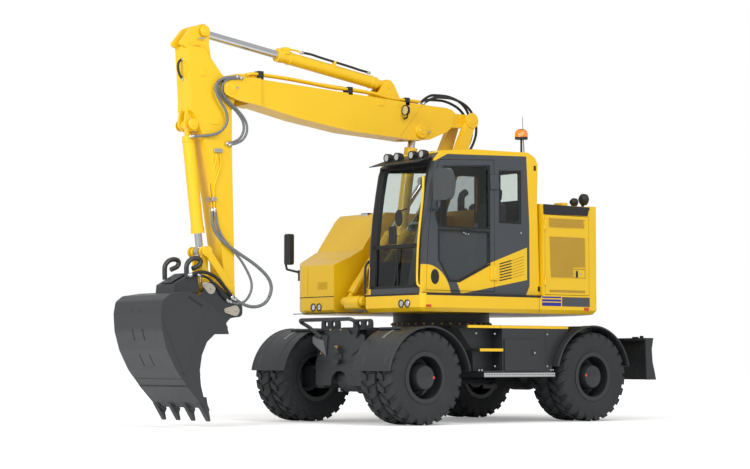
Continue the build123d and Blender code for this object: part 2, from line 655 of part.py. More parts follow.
pane_y = cab_left - glass_depth
panes.append(side_shape(rear_side_window, pane_y - glass_thickness, pane_y))
panes += [side_shape(rows, cab_right + glass_depth, cab_right + glass_depth + glass_thickness) for rows in right_windows]
pieces["cab_glass"] = group(*panes)
floor_z = cab_floor + cab_wall
seat_middle = (cab_left + cab_right) / 2
seat = [block(-60, 360, seat_middle - 170, seat_middle + 170, floor_z, 1860),
        side_shape([(-140, 1850), (430, 1850, 30), (440, 1975, 40), (-140, 1965)], seat_middle - 245, seat_middle + 245),
        side_shape([(-140, 1900), (-30, 1900), (-90, 2580), (-190, 2580, 40)], seat_middle - 235, seat_middle + 235),
        side_shape([(-180, 2540), (-100, 2540), (-115, 2740, 30), (-190, 2740, 30)], seat_middle - 130, seat_middle + 130)]
pieces["seat"] = fused(*seat)
controls = []
for side in (-1, 1):
    y = seat_middle + side * 330
    controls.append(fused(block(-80, 420, y - 65, y + 65, floor_z, 2080), bar((350, y, 2070), (370, y, 2290), 24)))
column = side_shape([(960, floor_z), (1090, floor_z), (930, 2232), (850, 2203)], seat_middle - 55, seat_middle + 55)
rim_plane = Plane(origin=(872, seat_middle, 2205), z_dir=(-0.34, 0, 0.94))
column = fused(column, Solid.make_cylinder(190, 28, rim_plane))
pieces["controls"] = group(*controls, column)

# Cab door, flush with the wall and carried on two hinges outside it
door_wire = outline(door_rows, lambda u, v: (u, wall_in, v)).offset_2d(-door_gap, kind=Kind.INTERSECTION)
door_leaf = Solid.extrude(Face(door_wire), Vector(0, cab_wall, 0))
upper_window = [(303, 2222, 30), (1058, 2222, 30), (1098, 2338, 100), (1062, 2620, 100), (985, 2893, 70), (303, 2940, 50)]
lower_window = [(303, 2184, 30), (1060, 2184, 30), (1060, 1850, 160), (905, 1615, 60), (760, 1612, 100), (303, 1815, 30)]
door_leaf = door_leaf.cut(*[window(rows, wall_in - 5, cab_left + 5) for rows in (upper_window, lower_window)])
pieces["door_glass"] = group(*[side_shape(rows, pane_y - glass_thickness, pane_y) for rows in (upper_window, lower_window)])


def hinge(place, z, length, front, wall_y, reach):
    """Fixed lower knuckle with pin and strap, and the leaf's upper knuckle with strap; front is the leaf's side."""
    x, y = place
    radius = 12
    pin = 6
    mid = z + length / 2
    fixed = [bar((x, y, z), (x, y, mid - 0.5), radius), bar((x, y, mid - 0.5), (x, y, z + length - 6), pin),
             block(min(x, x - front * reach), max(x, x - front * reach), wall_y, y - 3, z, mid - 0.5)]
    moving = [bar((x, y, mid + 0.5), (x, y, z + length), radius),
              block(min(x, x + front * reach), max(x, x + front * reach), wall_y, y - 3, mid + 0.5, z + length)]
    leaf = fused(*moving).cut(bar((x, y, mid), (x, y, z + length - 5), pin + pin_clearance))
    return fused(*fixed), leaf


door_hinge = (door_hinge_x, cab_left + door_hinge_stand)
fixed_knuckles = []
leaf_knuckles = []
for z in (1660, 2700):
    fixed, leaf = hinge(door_hinge, z, 130, 1, cab_left, 70)
    fixed_knuckles.append(fixed)
    leaf_knuckles.append(leaf)
pieces["cab_shell"] = fused(pieces["cab_shell"], *fixed_knuckles)
mirror_reach = 1600
mirror_x = 1150
mirror_head = cross_shape([(1270, 2500, 50), (1560, 2490, 90), (mirror_reach, 2680, 90), (1540, 2850, 90), (1290, 2850, 60)],
                          mirror_x, mirror_x + 60)
mirror_arm = swept([(1140, cab_left - 10, 2400), (1150, 1265, 2400), (mirror_x + 30, 1345, 2440), (mirror_x + 30, 1350, 2560)],
                   20, 14)
pieces["cab_door"] = fused(door_leaf, *leaf_knuckles, mirror_arm, mirror_head)
fixed_knuckles = []
leaf_knuckles = []
for z in (1600, 2250):
    fixed, leaf = hinge(service_hinge, z, 110, -1, hood_half, 26)
    fixed_knuckles.append(fixed)
    leaf_knuckles.append(leaf)
pieces["hood"] = fused(pieces["hood"], *fixed_knuckles)
pieces["service_door"] = fused(service_door, *leaf_knuckles)

# Lower boom: box beam, forked head with the knuckle pin, lift pin lugs and cheeks for the adjusting cylinder
boom_length = distance(boom_foot, knuckle)
half_foot = 150
half_head = 112
body_end = 1600


def on_boom(s, offset):
    """Point of the side view at s along the lower boom, offset to the rear."""
    return along(boom_foot, knuckle, s, offset)


w = lower_boom_half_width
lower = [side_shape([on_boom(-40, 90), on_boom(360, half_foot), on_boom(body_end, half_head), on_boom(body_end, -half_head),
                     on_boom(360, -half_foot), on_boom(-40, -90)], boom_middle - w, boom_middle + w),
         cross_bar(boom_foot, boom_middle - w, boom_middle + w, 105),
         side_shape([on_boom(1060, -90), (lift_eye[0] + 60, lift_eye[1] - 60, 50), (lift_eye[0] + 70, lift_eye[1] + 20, 50),
                     (lift_eye[0], lift_eye[1] + 75, 50), on_boom(1500, -90)], boom_middle - w, boom_middle + w),
         cross_bar(lift_eye, boom_middle - w - lift_boss_depth, boom_middle + w + lift_boss_depth, 45),
         side_shape([on_boom(body_end - 180, 100), on_boom(body_end, 90), on_boom(body_end, -90), on_boom(body_end - 180, -100)],
                    boom_middle - fork_outer_half_width, boom_middle + fork_outer_half_width)]
for side in (-1, 1):
    y0, y1 = sorted((boom_middle + side * fork_inner_half_width, boom_middle + side * fork_outer_half_width))
    lower.append(side_shape([on_boom(body_end - 90, 95), on_boom(boom_length - 60, 66), on_boom(boom_length, 66),
                             on_boom(boom_length, -66), on_boom(boom_length - 60, -66), on_boom(body_end - 90, -95)], y0, y1))
    lower.append(cross_bar(knuckle, y0, y1, 66))
    c0, c1 = sorted((boom_middle + side * 43, boom_middle + side * 73))
    lower.append(side_shape([on_boom(200, -100), (adjust_base[0] + 30, adjust_base[1] - 90, 50),
                             (adjust_base[0] + 80, adjust_base[1] + 10, 60), (adjust_base[0], adjust_base[1] + 80, 50),
                             on_boom(660, -100)], c0, c1))
tube_room = bar(*[(p[0], boom_middle, p[1]) for p in (along(adjust_base, adjust_eye, 118, 0), along(adjust_base, adjust_eye, 300, 0))],
                adjust_barrel_radius + 12)
lower_boom = fused(*lower).cut(cross_bar(boom_foot, boom_middle - w - 9, boom_middle + w + 9, 50 + pin_clearance), tube_room)
knuckle_pin = cross_bar(knuckle, boom_middle - fork_outer_half_width - 12, boom_middle + fork_outer_half_width + 12, 50)
adjust_pin = cross_bar(adjust_base, boom_middle - 80, boom_middle + 80, pin_radius)
pieces["lower_boom"] = fused(lower_boom, knuckle_pin, adjust_pin)

lift_rams = [ram(lift_base, lift_eye, boom_middle + side * lift_cylinder_place, 55, 36, 1040, 745, 60, 29, pin_radius)
             for side in (-1, 1)]
pieces["lift_barrels"] = group(*[pair[0] for pair in lift_rams])
pieces["lift_rods"] = group(*[pair[1] for pair in lift_rams])
pieces["adjust_barrel"], pieces["adjust_rod"] = ram(adjust_base, adjust_eye, boom_middle, adjust_barrel_radius, 45, 1200, 30, 72, 38,
                                                       pin_radius)

# Upper boom: box beam with its nose in the fork, pocket for the adjusting rod, forked tip, cylinder clevis on top
w = upper_boom_half_width
nose_half = fork_inner_half_width - cheek_gap
beam_rows = [(-139, 3697), (-92, 3727), (-12, 3745), (333, 3754), (2742, 3853), (2742, 3556), (2185, 3453), (1466, 3362),
             (719, 3333), (535, 3322), (256, 3347), (-12, 3456), (-80, 3510)]
beam = side_shape(beam_rows, boom_middle - w, boom_middle + w)
beam_nose = side_shape([(knuckle[0], knuckle[1] + 74), (-139, 3697), (-60, 3730), (-60, 3500), (-120, 3520),
                        (knuckle[0], knuckle[1] - 74)], boom_middle - nose_half, boom_middle + nose_half)
nose_eye = cross_bar(knuckle, boom_middle - nose_half, boom_middle + nose_half, 74)
boss = cross_bar(adjust_eye, boom_middle - w - 6, boom_middle + w + 6, 80)
pocket = side_shape([(80, 3200), (150, 3540, 60), (620, 3560, 60), (660, 3200)], boom_middle - 48, boom_middle + 48)
tip_rows = [(2742, 3860), (3095, 3844, 60), (3241, 3775, 50), (3245, 3660, 50), (3174, 3625, 40), (3012, 3586), (2742, 3550)]
tip = side_shape(tip_rows, boom_middle - tip_half_width, boom_middle + tip_half_width)
tip = tip.cut(block(2870, 3400, boom_middle - arm_half_width - 6, boom_middle + arm_half_width + 6, 3400, 4000))
clevis = []
for side in (-1, 1):
    y0, y1 = sorted((boom_middle + side * 62, boom_middle + side * 98))
    clevis.append(side_shape([(640, 3750), (arm_cylinder_base[0] - 75, arm_cylinder_base[1] + 10, 50),
                              (arm_cylinder_base[0], arm_cylinder_base[1] + 80, 50),
                              (arm_cylinder_base[0] + 80, arm_cylinder_base[1], 50), (1060, 3770)], y0, y1))
upper = fused(beam.cut(pocket), beam_nose, nose_eye)
upper = fused(upper, boss.cut(cross_bar(adjust_eye, boom_middle - 48, boom_middle + 48, 81)), tip, *clevis,
              cross_bar(arm_cylinder_base, boom_middle - 104, boom_middle + 104, pin_radius),
              cross_bar(boom_tip, boom_middle - tip_half_width - 10, boom_middle + tip_half_width + 10, 45))
pieces["upper_boom"] = upper.cut(cross_bar(knuckle, boom_middle - nose_half - 5, boom_middle + nose_half + 5, 50 + pin_clearance))
pieces["arm_barrel"], pieces["arm_rod"] = ram(arm_cylinder_base, arm_lever_pin, boom_middle, 72, 45, 1580, 850, 70, 56,
                                              pin_radius)

# Arm: tapering box with lever ears at the top, clevis for the bucket cylinder and the tip boss
w = arm_half_width
arm_rows = [(3235, 3857), (3368, 4011), (3470, 4130), (3690, 4147), (3662, 3765), (3647, 3548), (3650, 3440), (3600, 3400),
            (3500, 3200), (3440, 3000), (3330, 2500), (3230, 1900), (3185, 1500), (3160, 1290, 40), (3089, 1205, 40),
            (3030, 1250, 40), (3061, 1492), (3070, 1932), (3087, 2484), (3103, 3036), (3108, 3480), (3040, 3680, 60),
            (3060, 3800, 60)]
arm = side_shape(arm_rows, boom_middle - w, boom_middle + w)
parts = [arm, cross_bar(boom_tip, boom_middle - w - 5, boom_middle + w + 5, 108),
         cross_bar(arm_tip, boom_middle - w - 34, boom_middle + w + 34, 72),
         cross_bar(rocker_pin, boom_middle - w - 32, boom_middle + w + 32, pin_radius)]
for side in (-1, 1):
    y0, y1 = sorted((boom_middle + side * 61, boom_middle + side * 105))
    parts.append(side_shape([(3368, 4011), (3400, 4200), (arm_lever_pin[0] - 85, arm_lever_pin[1], 60),
                             (arm_lever_pin[0] - 20, arm_lever_pin[1] + 88, 60), (3545, 4385, 40), (3633, 4349, 40),
                             (3788, 4158, 30), (3690, 4130), (3600, 4040)], y0, y1))
    y0, y1 = sorted((boom_middle + side * 44, boom_middle + side * 78))
    parts.append(side_shape([(3560, 3480), (3648, 3500), (3676, 3400), (3690, 3270, 60), (3620, 3212, 60), (3480, 3230),
                             (3450, 3330)], y0, y1))
    y0, y1 = sorted((boom_middle + side * 57, boom_middle + side * 110))
    parts.append(cross_bar(arm_lever_pin, y0, y1, pin_radius))
parts.append(cross_bar(bucket_cylinder_base, boom_middle - 84, boom_middle + 84, pin_radius))
arm = fused(*parts)
arm = arm.cut(cross_bar(boom_tip, boom_middle - w - 9, boom_middle + w + 9, 45 + pin_clearance),
              cross_bar(arm_tip, boom_middle - w - 40, boom_middle + w + 40, 38 + pin_clearance))
pieces["arm"] = arm
pieces["bucket_barrel"], pieces["bucket_rod"] = ram(bucket_cylinder_base, rocker_top_pin, boom_middle, 68, 42, 1190, 60, 56, 40,
                                                    pin_radius)

# Bucket linkage: rockers on the arm, links to the coupler
rocker_start = w + 2
rockers = []
links = []
coupler_link_low = along(rocker_top_pin, coupler_link_pin, distance(rocker_top_pin, coupler_link_pin))
for side in (-1, 1):
    y0, y1 = sorted((boom_middle + side * rocker_start, boom_middle + side * (rocker_start + 26)))
    plate = side_shape([along(rocker_pin, rocker_top_pin, 0, 42), along(rocker_pin, rocker_top_pin, 486, 42),
                        along(rocker_pin, rocker_top_pin, 486, -42), along(rocker_pin, rocker_top_pin, 0, -42)], y0, y1)
    plate = fused(plate, cross_bar(rocker_pin, y0, y1, 60), cross_bar(rocker_top_pin, y0, y1, 60))
    plate = plate.cut(cross_bar(rocker_pin, y0 - 1, y1 + 1, pin_radius + pin_clearance))
    p0, p1 = sorted((boom_middle + side * 56, boom_middle + side * (rocker_start + 30)))
    rockers.append(fused(plate, cross_bar(rocker_top_pin, p0, p1, pin_radius)))
    y0, y1 = sorted((boom_middle + side * 62, boom_middle + side * 98))
    plate = side_shape([along(rocker_top_pin, coupler_link_pin, 0, 40), along(rocker_top_pin, coupler_link_pin, 412, 40),
                        along(rocker_top_pin, coupler_link_pin, 412, -40), along(rocker_top_pin, coupler_link_pin, 0, -40)],
                       y0, y1)
    plate = fused(plate, cross_bar(rocker_top_pin, y0, y1, 58), cross_bar(coupler_link_pin, y0, y1, 58))
    links.append(plate.cut(cross_bar(rocker_top_pin, y0 - 1, y1 + 1, pin_radius + pin_clearance)))
web = side_shape([along(rocker_top_pin, coupler_link_pin, 330, 25), along(rocker_top_pin, coupler_link_pin, 400, 25),
                  along(rocker_top_pin, coupler_link_pin, 400, -25), along(rocker_top_pin, coupler_link_pin, 330, -25)],
                 boom_middle - 62, boom_middle + 62)
pieces["rocker"] = group(*rockers)
pieces["bucket_link"] = fused(*links, web)

# Coupler between the arm's tip and the bucket
bucket_top_line = [(3370, 1001), (3423, 1173), (3683, 1362)]
ear_in = w + 36
ear_out = ear_in + 30
coupler = []
for side in (-1, 1):
    y0, y1 = sorted((boom_middle + side * ear_in, boom_middle + side * ear_out))
    coupler.append(side_shape([(3000, 1200, 50), (3000, 1330, 60), (3100, 1370, 50), (3370, 1575, 60), (3480, 1560, 60),
                               (3520, 1450, 40), bucket_top_line[2], bucket_top_line[1], bucket_top_line[0], (3290, 1050, 30),
                               (3160, 1180, 60)], y0, y1))
    s0, s1 = sorted((boom_middle + side * 103, boom_middle + side * ear_out))
    coupler.append(cross_bar(coupler_link_pin, s0, s1, pin_radius))
coupler.append(side_shape([bucket_top_line[2], bucket_top_line[1], bucket_top_line[0], (3320, 1040), (3385, 1215), (3640, 1402)],
                          boom_middle - ear_out, boom_middle + ear_out))
coupler.append(cross_bar(arm_tip, boom_middle - ear_out - 6, boom_middle + ear_out + 6, 38))
pieces["coupler"] = fused(*coupler)

# Backhoe bucket: curved shell between side plates, lip and four teeth
mouth = [(3370, 1001), (3552, 1000), (3654, 914), (3717, 776), (3742, 617), (3728, 457), (3689, 320)]
back = [(3675, 212), (3906, 449, 200), (4045, 618, 200), (4160, 828, 200), (4223, 1036, 200), (4237, 1225, 100),
        (4213, 1352, 60), (4126, 1417, 60), (3875, 1454, 100), (3683, 1362), (3423, 1173)]
bucket_rows = mouth + back
b0 = boom_middle - bucket_half_width
b1 = boom_middle + bucket_half_width
bucket = side_shape(bucket_rows, b0, b1)
side_plate = 25
back_plate = 22
inner = outline([(row[0], row[1]) for row in bucket_rows], lambda u, v: (u, b0 + side_plate, v))
inner = inner.offset_2d(-back_plate, kind=Kind.INTERSECTION)
room = Solid.extrude(Face(inner), Vector(0, b1 - b0 - 2 * side_plate, 0))
band = [(u - 90, v) for u, v in mouth[2:]] + [(u + 60, v) for u, v in mouth[:1:-1]]
gate = side_shape(band, b0 + side_plate, b1 - side_plate)
bucket = bucket.cut(room, gate)
teeth = []
for place in (-bucket_half_width + 42, -147, 147, bucket_half_width - 42):
    y = boom_middle + place
    teeth.append(side_shape([(3650, 330), (3692, 330), (3735, 255), (3612, 68), (3596, 74)], y - 32, y + 32))
wrapper = bucket.intersect(block(3000, 4600, b0 + side_plate, b1 - side_plate, 0, 1800)).solids()[0]
pieces["bucket"] = fused(wrapper, *teeth)
cheeks = [side_shape(bucket_rows, *sorted((edge, edge + inward))).cut(*teeth).solids()[0]
          for edge, inward in ((b0, side_plate), (b1, -side_plate))]
pieces["bucket_sides"] = group(*cheeks)

# Roof lamps and right mirror
roof_lamps = [block(1115, 1180, y - 45, y + 45, 2995, 3075) for y in (420, 600, 860, 1040)]
lamp_rail = block(1101, 1125, 330, 1130, 2986.3, 3006)
right_reach = pieces["cab_door"].bounding_box().max.Y
arm_radius = 14
arm_y = arm_radius - right_reach
right_bracket = block(mirror_x - 40, mirror_x + 40, -1275, -1180, 1680, 1810).cut(pieces["tank"])
right_arm = swept([(mirror_x, -1262, 1745), (mirror_x, -1330, 1790), (mirror_x, arm_y + 26, 1830), (mirror_x, arm_y, 1900),
                   (mirror_x, arm_y, 2120)], 18, arm_radius)
head_inner = arm_y + 133
head_outer = arm_y + 8
right_head = cross_shape([(head_inner, 1885, 30), (head_outer, 1885, 30), (head_outer, 2262, 30), (head_inner, 2262, 30)],
                         mirror_x - 30, mirror_x + 30)
# Beacon on its stem behind the cab roof
beacon_x = -482
beacon_y = 900
beacon_seat = 2995
beacon_low = 3330
beacon_stem = bar((beacon_x, beacon_y, beacon_seat), (beacon_x, beacon_y, beacon_low), 13)
beacon_foot = block(beacon_x - 16, -430, beacon_y - 22, beacon_y + 22, beacon_seat - 10, beacon_seat + 10)
beacon_foot = beacon_foot.cut(cab_layer(0, cab_right, cab_left))
beacon = Solid.revolve(Face(outline([(0, 0), (76, 0), (76, 24), (66, 30), (60, 112, 22), (0, 124)],
                                    lambda u, v: (beacon_x + u, beacon_y, beacon_low + v))), 360,
                       Axis((beacon_x, beacon_y, 0), (0, 0, 1)))
pieces["fittings"] = group(fused(lamp_rail, *roof_lamps), fused(right_bracket, right_arm, right_head),
                           fused(beacon_foot, beacon_stem, beacon))

os.makedirs("parts", exist_ok=True)
lows = [pieces[name].bounding_box() for name in pieces]
shift = -(min(b.min.X for b in lows) + max(b.max.X for b in lows)) / 2
for name in sorted(pieces):
    solids = [solid.moved(Location((shift, 0, 0))) for solid in pieces[name].solids()]
    export_step(solids[0] if len(solids) == 1 else Compound(children=solids), "parts/" + name + ".step")
print("shift", shift, "nodes", len(pieces))
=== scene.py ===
"""Dressed model of a wheeled excavator with a two-piece boom, twin tyres and a dozer blade.

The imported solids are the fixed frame. Lengths are metres; sizes given in millimetres say so. Most
places are measured from the slewing axis, X forward, Y left, Z up, and the array `slew` moves
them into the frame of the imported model.
"""

import json
import math

import bmesh
import bpy
import numpy as np
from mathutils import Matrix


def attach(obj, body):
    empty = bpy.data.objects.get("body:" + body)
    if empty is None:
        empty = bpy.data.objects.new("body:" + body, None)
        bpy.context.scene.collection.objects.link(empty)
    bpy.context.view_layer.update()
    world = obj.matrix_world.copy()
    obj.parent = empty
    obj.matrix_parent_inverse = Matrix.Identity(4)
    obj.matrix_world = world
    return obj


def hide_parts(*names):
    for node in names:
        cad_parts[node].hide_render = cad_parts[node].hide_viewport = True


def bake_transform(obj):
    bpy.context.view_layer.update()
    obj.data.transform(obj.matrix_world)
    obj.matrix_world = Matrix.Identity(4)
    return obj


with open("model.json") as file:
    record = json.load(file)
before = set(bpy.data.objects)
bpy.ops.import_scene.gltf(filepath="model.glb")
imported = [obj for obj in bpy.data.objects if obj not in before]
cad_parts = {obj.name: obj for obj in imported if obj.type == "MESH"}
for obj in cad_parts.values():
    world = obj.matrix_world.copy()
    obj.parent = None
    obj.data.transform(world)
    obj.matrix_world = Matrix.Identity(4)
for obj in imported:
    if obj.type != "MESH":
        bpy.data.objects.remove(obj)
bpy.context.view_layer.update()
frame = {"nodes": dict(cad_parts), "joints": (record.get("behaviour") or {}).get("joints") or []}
nodes = frame["nodes"]
swing = next(joint for joint in frame["joints"] if joint["name"] == "swing")
slew = np.array([swing["pos_m"][0], 0.0, 0.0])
house = "upper_structure"

# Camera: it stands at the left front, about 24 m away with a long lens and
# 0.71 m above the ground, so that eye level lies a little above the axles.
camera_data = bpy.data.cameras.new("photo_camera")
camera_data.sensor_width = 36.0
camera_data.lens = 97.06
camera_data.clip_end = 300.0
camera = bpy.data.objects.new("photo_camera", camera_data)
bpy.context.collection.objects.link(camera)
camera_place = np.array([15.768, 18.4, 0.713])
pitch_degrees, heading_degrees = 3.578, -128.72
camera.location = tuple(camera_place + slew)
camera.rotation_euler = (math.radians(90 + pitch_degrees), 0.0, math.radians(heading_degrees - 90.0))
bpy.context.scene.camera = camera
bpy.context.scene.view_settings.view_transform = "Standard"


def linear(code):
    """Linear colour of an sRGB hex code such as F2B90C."""
    values = np.array([int(code[i:i + 2], 16) for i in (0, 2, 4)]) / 255.0
    curve = np.where(values <= 0.04045, values / 12.92, ((values + 0.055) / 1.055) ** 2.4)
    return (float(curve[0]), float(curve[1]), float(curve[2]), 1.0)


def add(tree, kind, sockets=None, **settings):
    """A shader node with its settings; sockets maps an input to a value, or to what links to it.

    A node stands for its first output, and kind leaves out the words ShaderNode."""
    made = tree.nodes.new("ShaderNode" + kind)
    for name, value in settings.items():
        setattr(made, name, value)
    for name, value in (sockets or {}).items():
        if isinstance(value, bpy.types.Node):
            value = value.outputs[0]
        if isinstance(value, bpy.types.NodeSocket):
            tree.links.new(value, made.inputs[name])
        else:
            made.inputs[name].default_value = value
    return made


def blank(name):
    """Empty node material, as (material, tree)."""
    material = bpy.data.materials.new(name)
    material.use_nodes = True
    material.node_tree.nodes.clear()
    return material, material.node_tree


def build(name, shapes, material, body=None, bevel=0.0, crisp=35.0):
    """Object of closed shapes, each an array of points and its faces, in the slewing-axis frame.

    Doubles merge and faces turn outwards. Edges sharper than `crisp` degrees stay sharp, or get a
    rounding of width `bevel`."""
    points, faces, count = [], [], 0
    for shape_points, shape_faces in shapes:
        points.append(np.asarray(shape_points, float).reshape(-1, 3))
        faces += [[int(corner) + count for corner in face] for face in shape_faces]
        count += len(points[-1])
    mesh = bpy.data.meshes.new(name)
    mesh.from_pydata((np.concatenate(points) + slew).tolist(), [], faces)
    shell = bmesh.new()
    shell.from_mesh(mesh)
    bmesh.ops.remove_doubles(shell, verts=shell.verts, dist=1e-6)
    bmesh.ops.recalc_face_normals(shell, faces=shell.faces)
    shell.to_mesh(mesh)
    shell.free()
    mesh.materials.append(material)
    mesh.polygons.foreach_set("use_smooth", np.ones(len(mesh.polygons), bool))
    mesh.set_sharp_from_angle(angle=math.radians(crisp))
    thing = bpy.data.objects.new(name, mesh)
    bpy.context.collection.objects.link(thing)
    if bevel:
        edge = thing.modifiers.new("rounding", "BEVEL")
        edge.width = bevel
        edge.segments = 2
        edge.limit_method = "ANGLE"
        edge.angle_limit = math.radians(crisp)
        edge.harden_normals = True
    if body:
        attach(thing, body)
    return thing


# Studio: seamless pale paper that glows more with distance, only to the camera,
# so that it keeps the machine's shadow; white surroundings and two square lamps.
floor_material, tree = blank("studio_paper")
path = add(tree, "LightPath")
sheen = add(tree, "BsdfDiffuse", {"Color": (0.92, 0.92, 0.92, 1.0)})
spot = add(tree, "TexCoord")
away = add(tree, "VectorMath", {0: spot.outputs["Object"]}, operation="LENGTH")
rise = add(tree, "MapRange", {"Value": away.outputs["Value"], "From Min": 3.0, "From Max": 14.0,
                              "To Min": 0.26, "To Max": 0.75})
glow = add(tree, "Emission", {"Color": (1, 1, 1, 1), "Strength": rise})
both = add(tree, "AddShader", {0: sheen, 1: glow})
pick = add(tree, "MixShader", {0: path.outputs["Is Camera Ray"], 1: sheen, 2: both})
add(tree, "OutputMaterial", {"Surface": pick})
floor_half, floor_z = 60, -0.001
floor_corners = [(x * floor_half, y * floor_half, floor_z) for x, y in ((-1, -1), (1, -1), (1, 1), (-1, 1))]
floor = build("studio_floor", [(floor_corners, [(0, 1, 2, 3)])], floor_material)

world = bpy.data.worlds.new("studio")
world.use_nodes = True
bpy.context.scene.world = world
tree = world.node_tree
tree.nodes.clear()
path = add(tree, "LightPath")
soft = add(tree, "Background", {"Color": (1, 1, 1, 1), "Strength": 0.58})
white = add(tree, "Background", {"Color": (1, 1, 1, 1), "Strength": 1.0})
seen = add(tree, "Math", {0: path.outputs["Is Camera Ray"], 1: path.outputs["Is Transmission Ray"]},
           operation="MAXIMUM")
pick = add(tree, "MixShader", {0: seen, 1: soft, 2: white})
add(tree, "OutputWorld", {"Surface": pick})


def lamp(name, place, target, size, power):
    """Square area lamp pointed at a target.

    The tangent of its tilt is the way across over the way down to the target."""
    data = bpy.data.lights.new(name, "AREA")
    data.shape = "SQUARE"
    data.size = size
    data.energy = power
    thing = bpy.data.objects.new(name, data)
    bpy.context.collection.objects.link(thing)
    thing.location = tuple(np.array(place, float) + slew)
    way = np.array(target, float) - np.array(place, float)
    flat = math.hypot(way[0], way[1])
    thing.rotation_euler = (math.atan2(flat, -way[2]), 0.0, math.atan2(-way[0], way[1]))


lamp("key_lamp", (3.0, 11.0, 11.0), (0.5, 0.0, 1.5), 7.0, 900.0)
lamp("front_lamp", (13.0, 3.0, 7.0), (0.5, 0.0, 1.8), 6.0, 900.0)


# Twin tyres: cross-ply excavator tyres of black rubber with deep lugs that run
# from the crown to the shoulder, half a pitch apart on the two sides.
def coordinates(tree):
    """Object coordinates measured from the slewing axis."""
    source = add(tree, "TexCoord")
    return add(tree, "VectorMath", {0: source.outputs["Object"], 1: tuple(-slew)}, operation="ADD")


rubber, tree = blank("tyre_rubber")
place = coordinates(tree)
dust = add(tree, "TexNoise", {"Vector": place, "Scale": 6.0, "Detail": 6.0, "Roughness": 0.6})
tone = add(tree, "ValToRGB", {"Fac": dust.outputs["Fac"]})
tone.color_ramp.elements[0].color = linear("202224")
tone.color_ramp.elements[1].color = linear("303335")
grain = add(tree, "TexNoise", {"Vector": place, "Scale": 220.0, "Detail": 2.0})
bump = add(tree, "Bump", {"Height": grain.outputs["Fac"], "Distance": 0.001, "Strength": 0.3})
shader = add(tree, "BsdfPrincipled", {"Base Color": tone, "Roughness": 0.72, "Normal": bump})
add(tree, "OutputMaterial", {"Surface": shader})


def ring_faces(rows, columns, close_rows=True, close_columns=True):
    """Quads of a grid of points, joined round either way where asked."""
    r = np.arange(rows if close_rows else rows - 1)
    c = np.arange(columns if close_columns else columns - 1)
    a, b = np.meshgrid(r, c, indexing="ij")
    a2 = (a + 1) % rows
    b2 = (b + 1) % columns
    return np.stack([a * columns + b, a * columns + b2, a2 * columns + b2, a2 * columns + b],
                    -1).reshape(-1, 4)


axle_height = 0.5275
half_width, tyre_width, twin_gap = 1.275, 0.262, 0.026
wheel_places = {"front_left": (1.3, 1, "wheel_front_left"), "front_right": (1.3, -1, "wheel_front_right"),
                "rear_left": (-1.3, 1, "wheel_rear_left"), "rear_right": (-1.3, -1, "wheel_rear_right")}
tyre_profile = np.array([(-94, 254), (-96, 288), (-103, 300), (-106, 312), (-112, 330), (-124, 380),
                         (-130, 430), (-124, 468), (-106, 494), (-70, 503), (0, 505), (70, 503), (106, 494),
                         (124, 468), (130, 430), (124, 380), (112, 330), (106, 312), (103, 300), (96, 288),
                         (94, 254)]) / 1000.0
lug_base = np.array([(4, 498), (45, 498), (92, 490), (117, 474), (125, 452), (127, 428)]) / 1000.0
lug_top = np.array([(4, 527), (45, 527.5), (98, 525), (124, 511), (130.5, 474), (130.5, 436)]) / 1000.0
lug_count = 23


def tyre(middle, centre_x):
    """Carcass turned from its profile, with lugs as blocks carried from crown to shoulder.

    A lug's sections lie at angles that advance with the distance from the crown, so it leans
    like a chevron; each section is a trapezium between base and top radius."""
    around = np.linspace(0, 2 * np.pi, 97)[:-1]
    across, radius = tyre_profile[:, 0], tyre_profile[:, 1]
    points = np.stack(np.broadcast_arrays(centre_x + radius[None, :] * np.cos(around)[:, None],
                                          middle + across[None, :] + 0 * around[:, None],
                                          axle_height + radius[None, :] * np.sin(around)[:, None]), -1)
    shapes = [(points.reshape(-1, 3), ring_faces(96, len(tyre_profile), True, False))]
    pitch = 2 * np.pi / lug_count
    lean = np.array([0.0, 0.1, 0.3, 0.42, 0.46, 0.48]) * pitch
    half = np.array([0.2, 0.24, 0.29, 0.3, 0.27, 0.2]) * pitch
    for side in (-1, 1):
        start = np.arange(lug_count) * pitch + (0.5 * pitch if side > 0 else 0.0)
        turn = np.stack([lean - half * 1.12, lean - half, lean + half, lean + half * 1.12], -1)
        reach = np.stack([lug_base[:, 1], lug_top[:, 1], lug_top[:, 1], lug_base[:, 1]], -1)
        out = np.stack([lug_base[:, 0], lug_top[:, 0], lug_top[:, 0], lug_base[:, 0]], -1) * side
        angle = start[:, None, None] + turn[None]
        lug = np.stack(np.broadcast_arrays(centre_x + reach * np.cos(angle), middle + out + 0 * angle,
                                           axle_height + reach * np.sin(angle)), -1)
        one = np.concatenate([ring_faces(6, 4, False, False), [(0, 1, 2, 3), (23, 22, 21, 20)],
                              np.stack([np.arange(5) * 4, np.arange(5) * 4 + 4, np.arange(5) * 4 + 7,
                                        np.arange(5) * 4 + 3], -1)])
        index = (np.arange(lug_count) * 24)[:, None, None] + one[None]
        shapes.append((lug.reshape(-1, 3), index.reshape(-1, 4)))
    return shapes


for name, (centre_x, side, body) in wheel_places.items():
    outer = half_width - tyre_width / 2
    inner = half_width - tyre_width - twin_gap - tyre_width / 2
    shapes = tyre(side * outer, centre_x) + tyre(side * inner, centre_x)
    piece = build("tyres_" + name, shapes, rubber, body)
    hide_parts("tyre_pair_" + name)


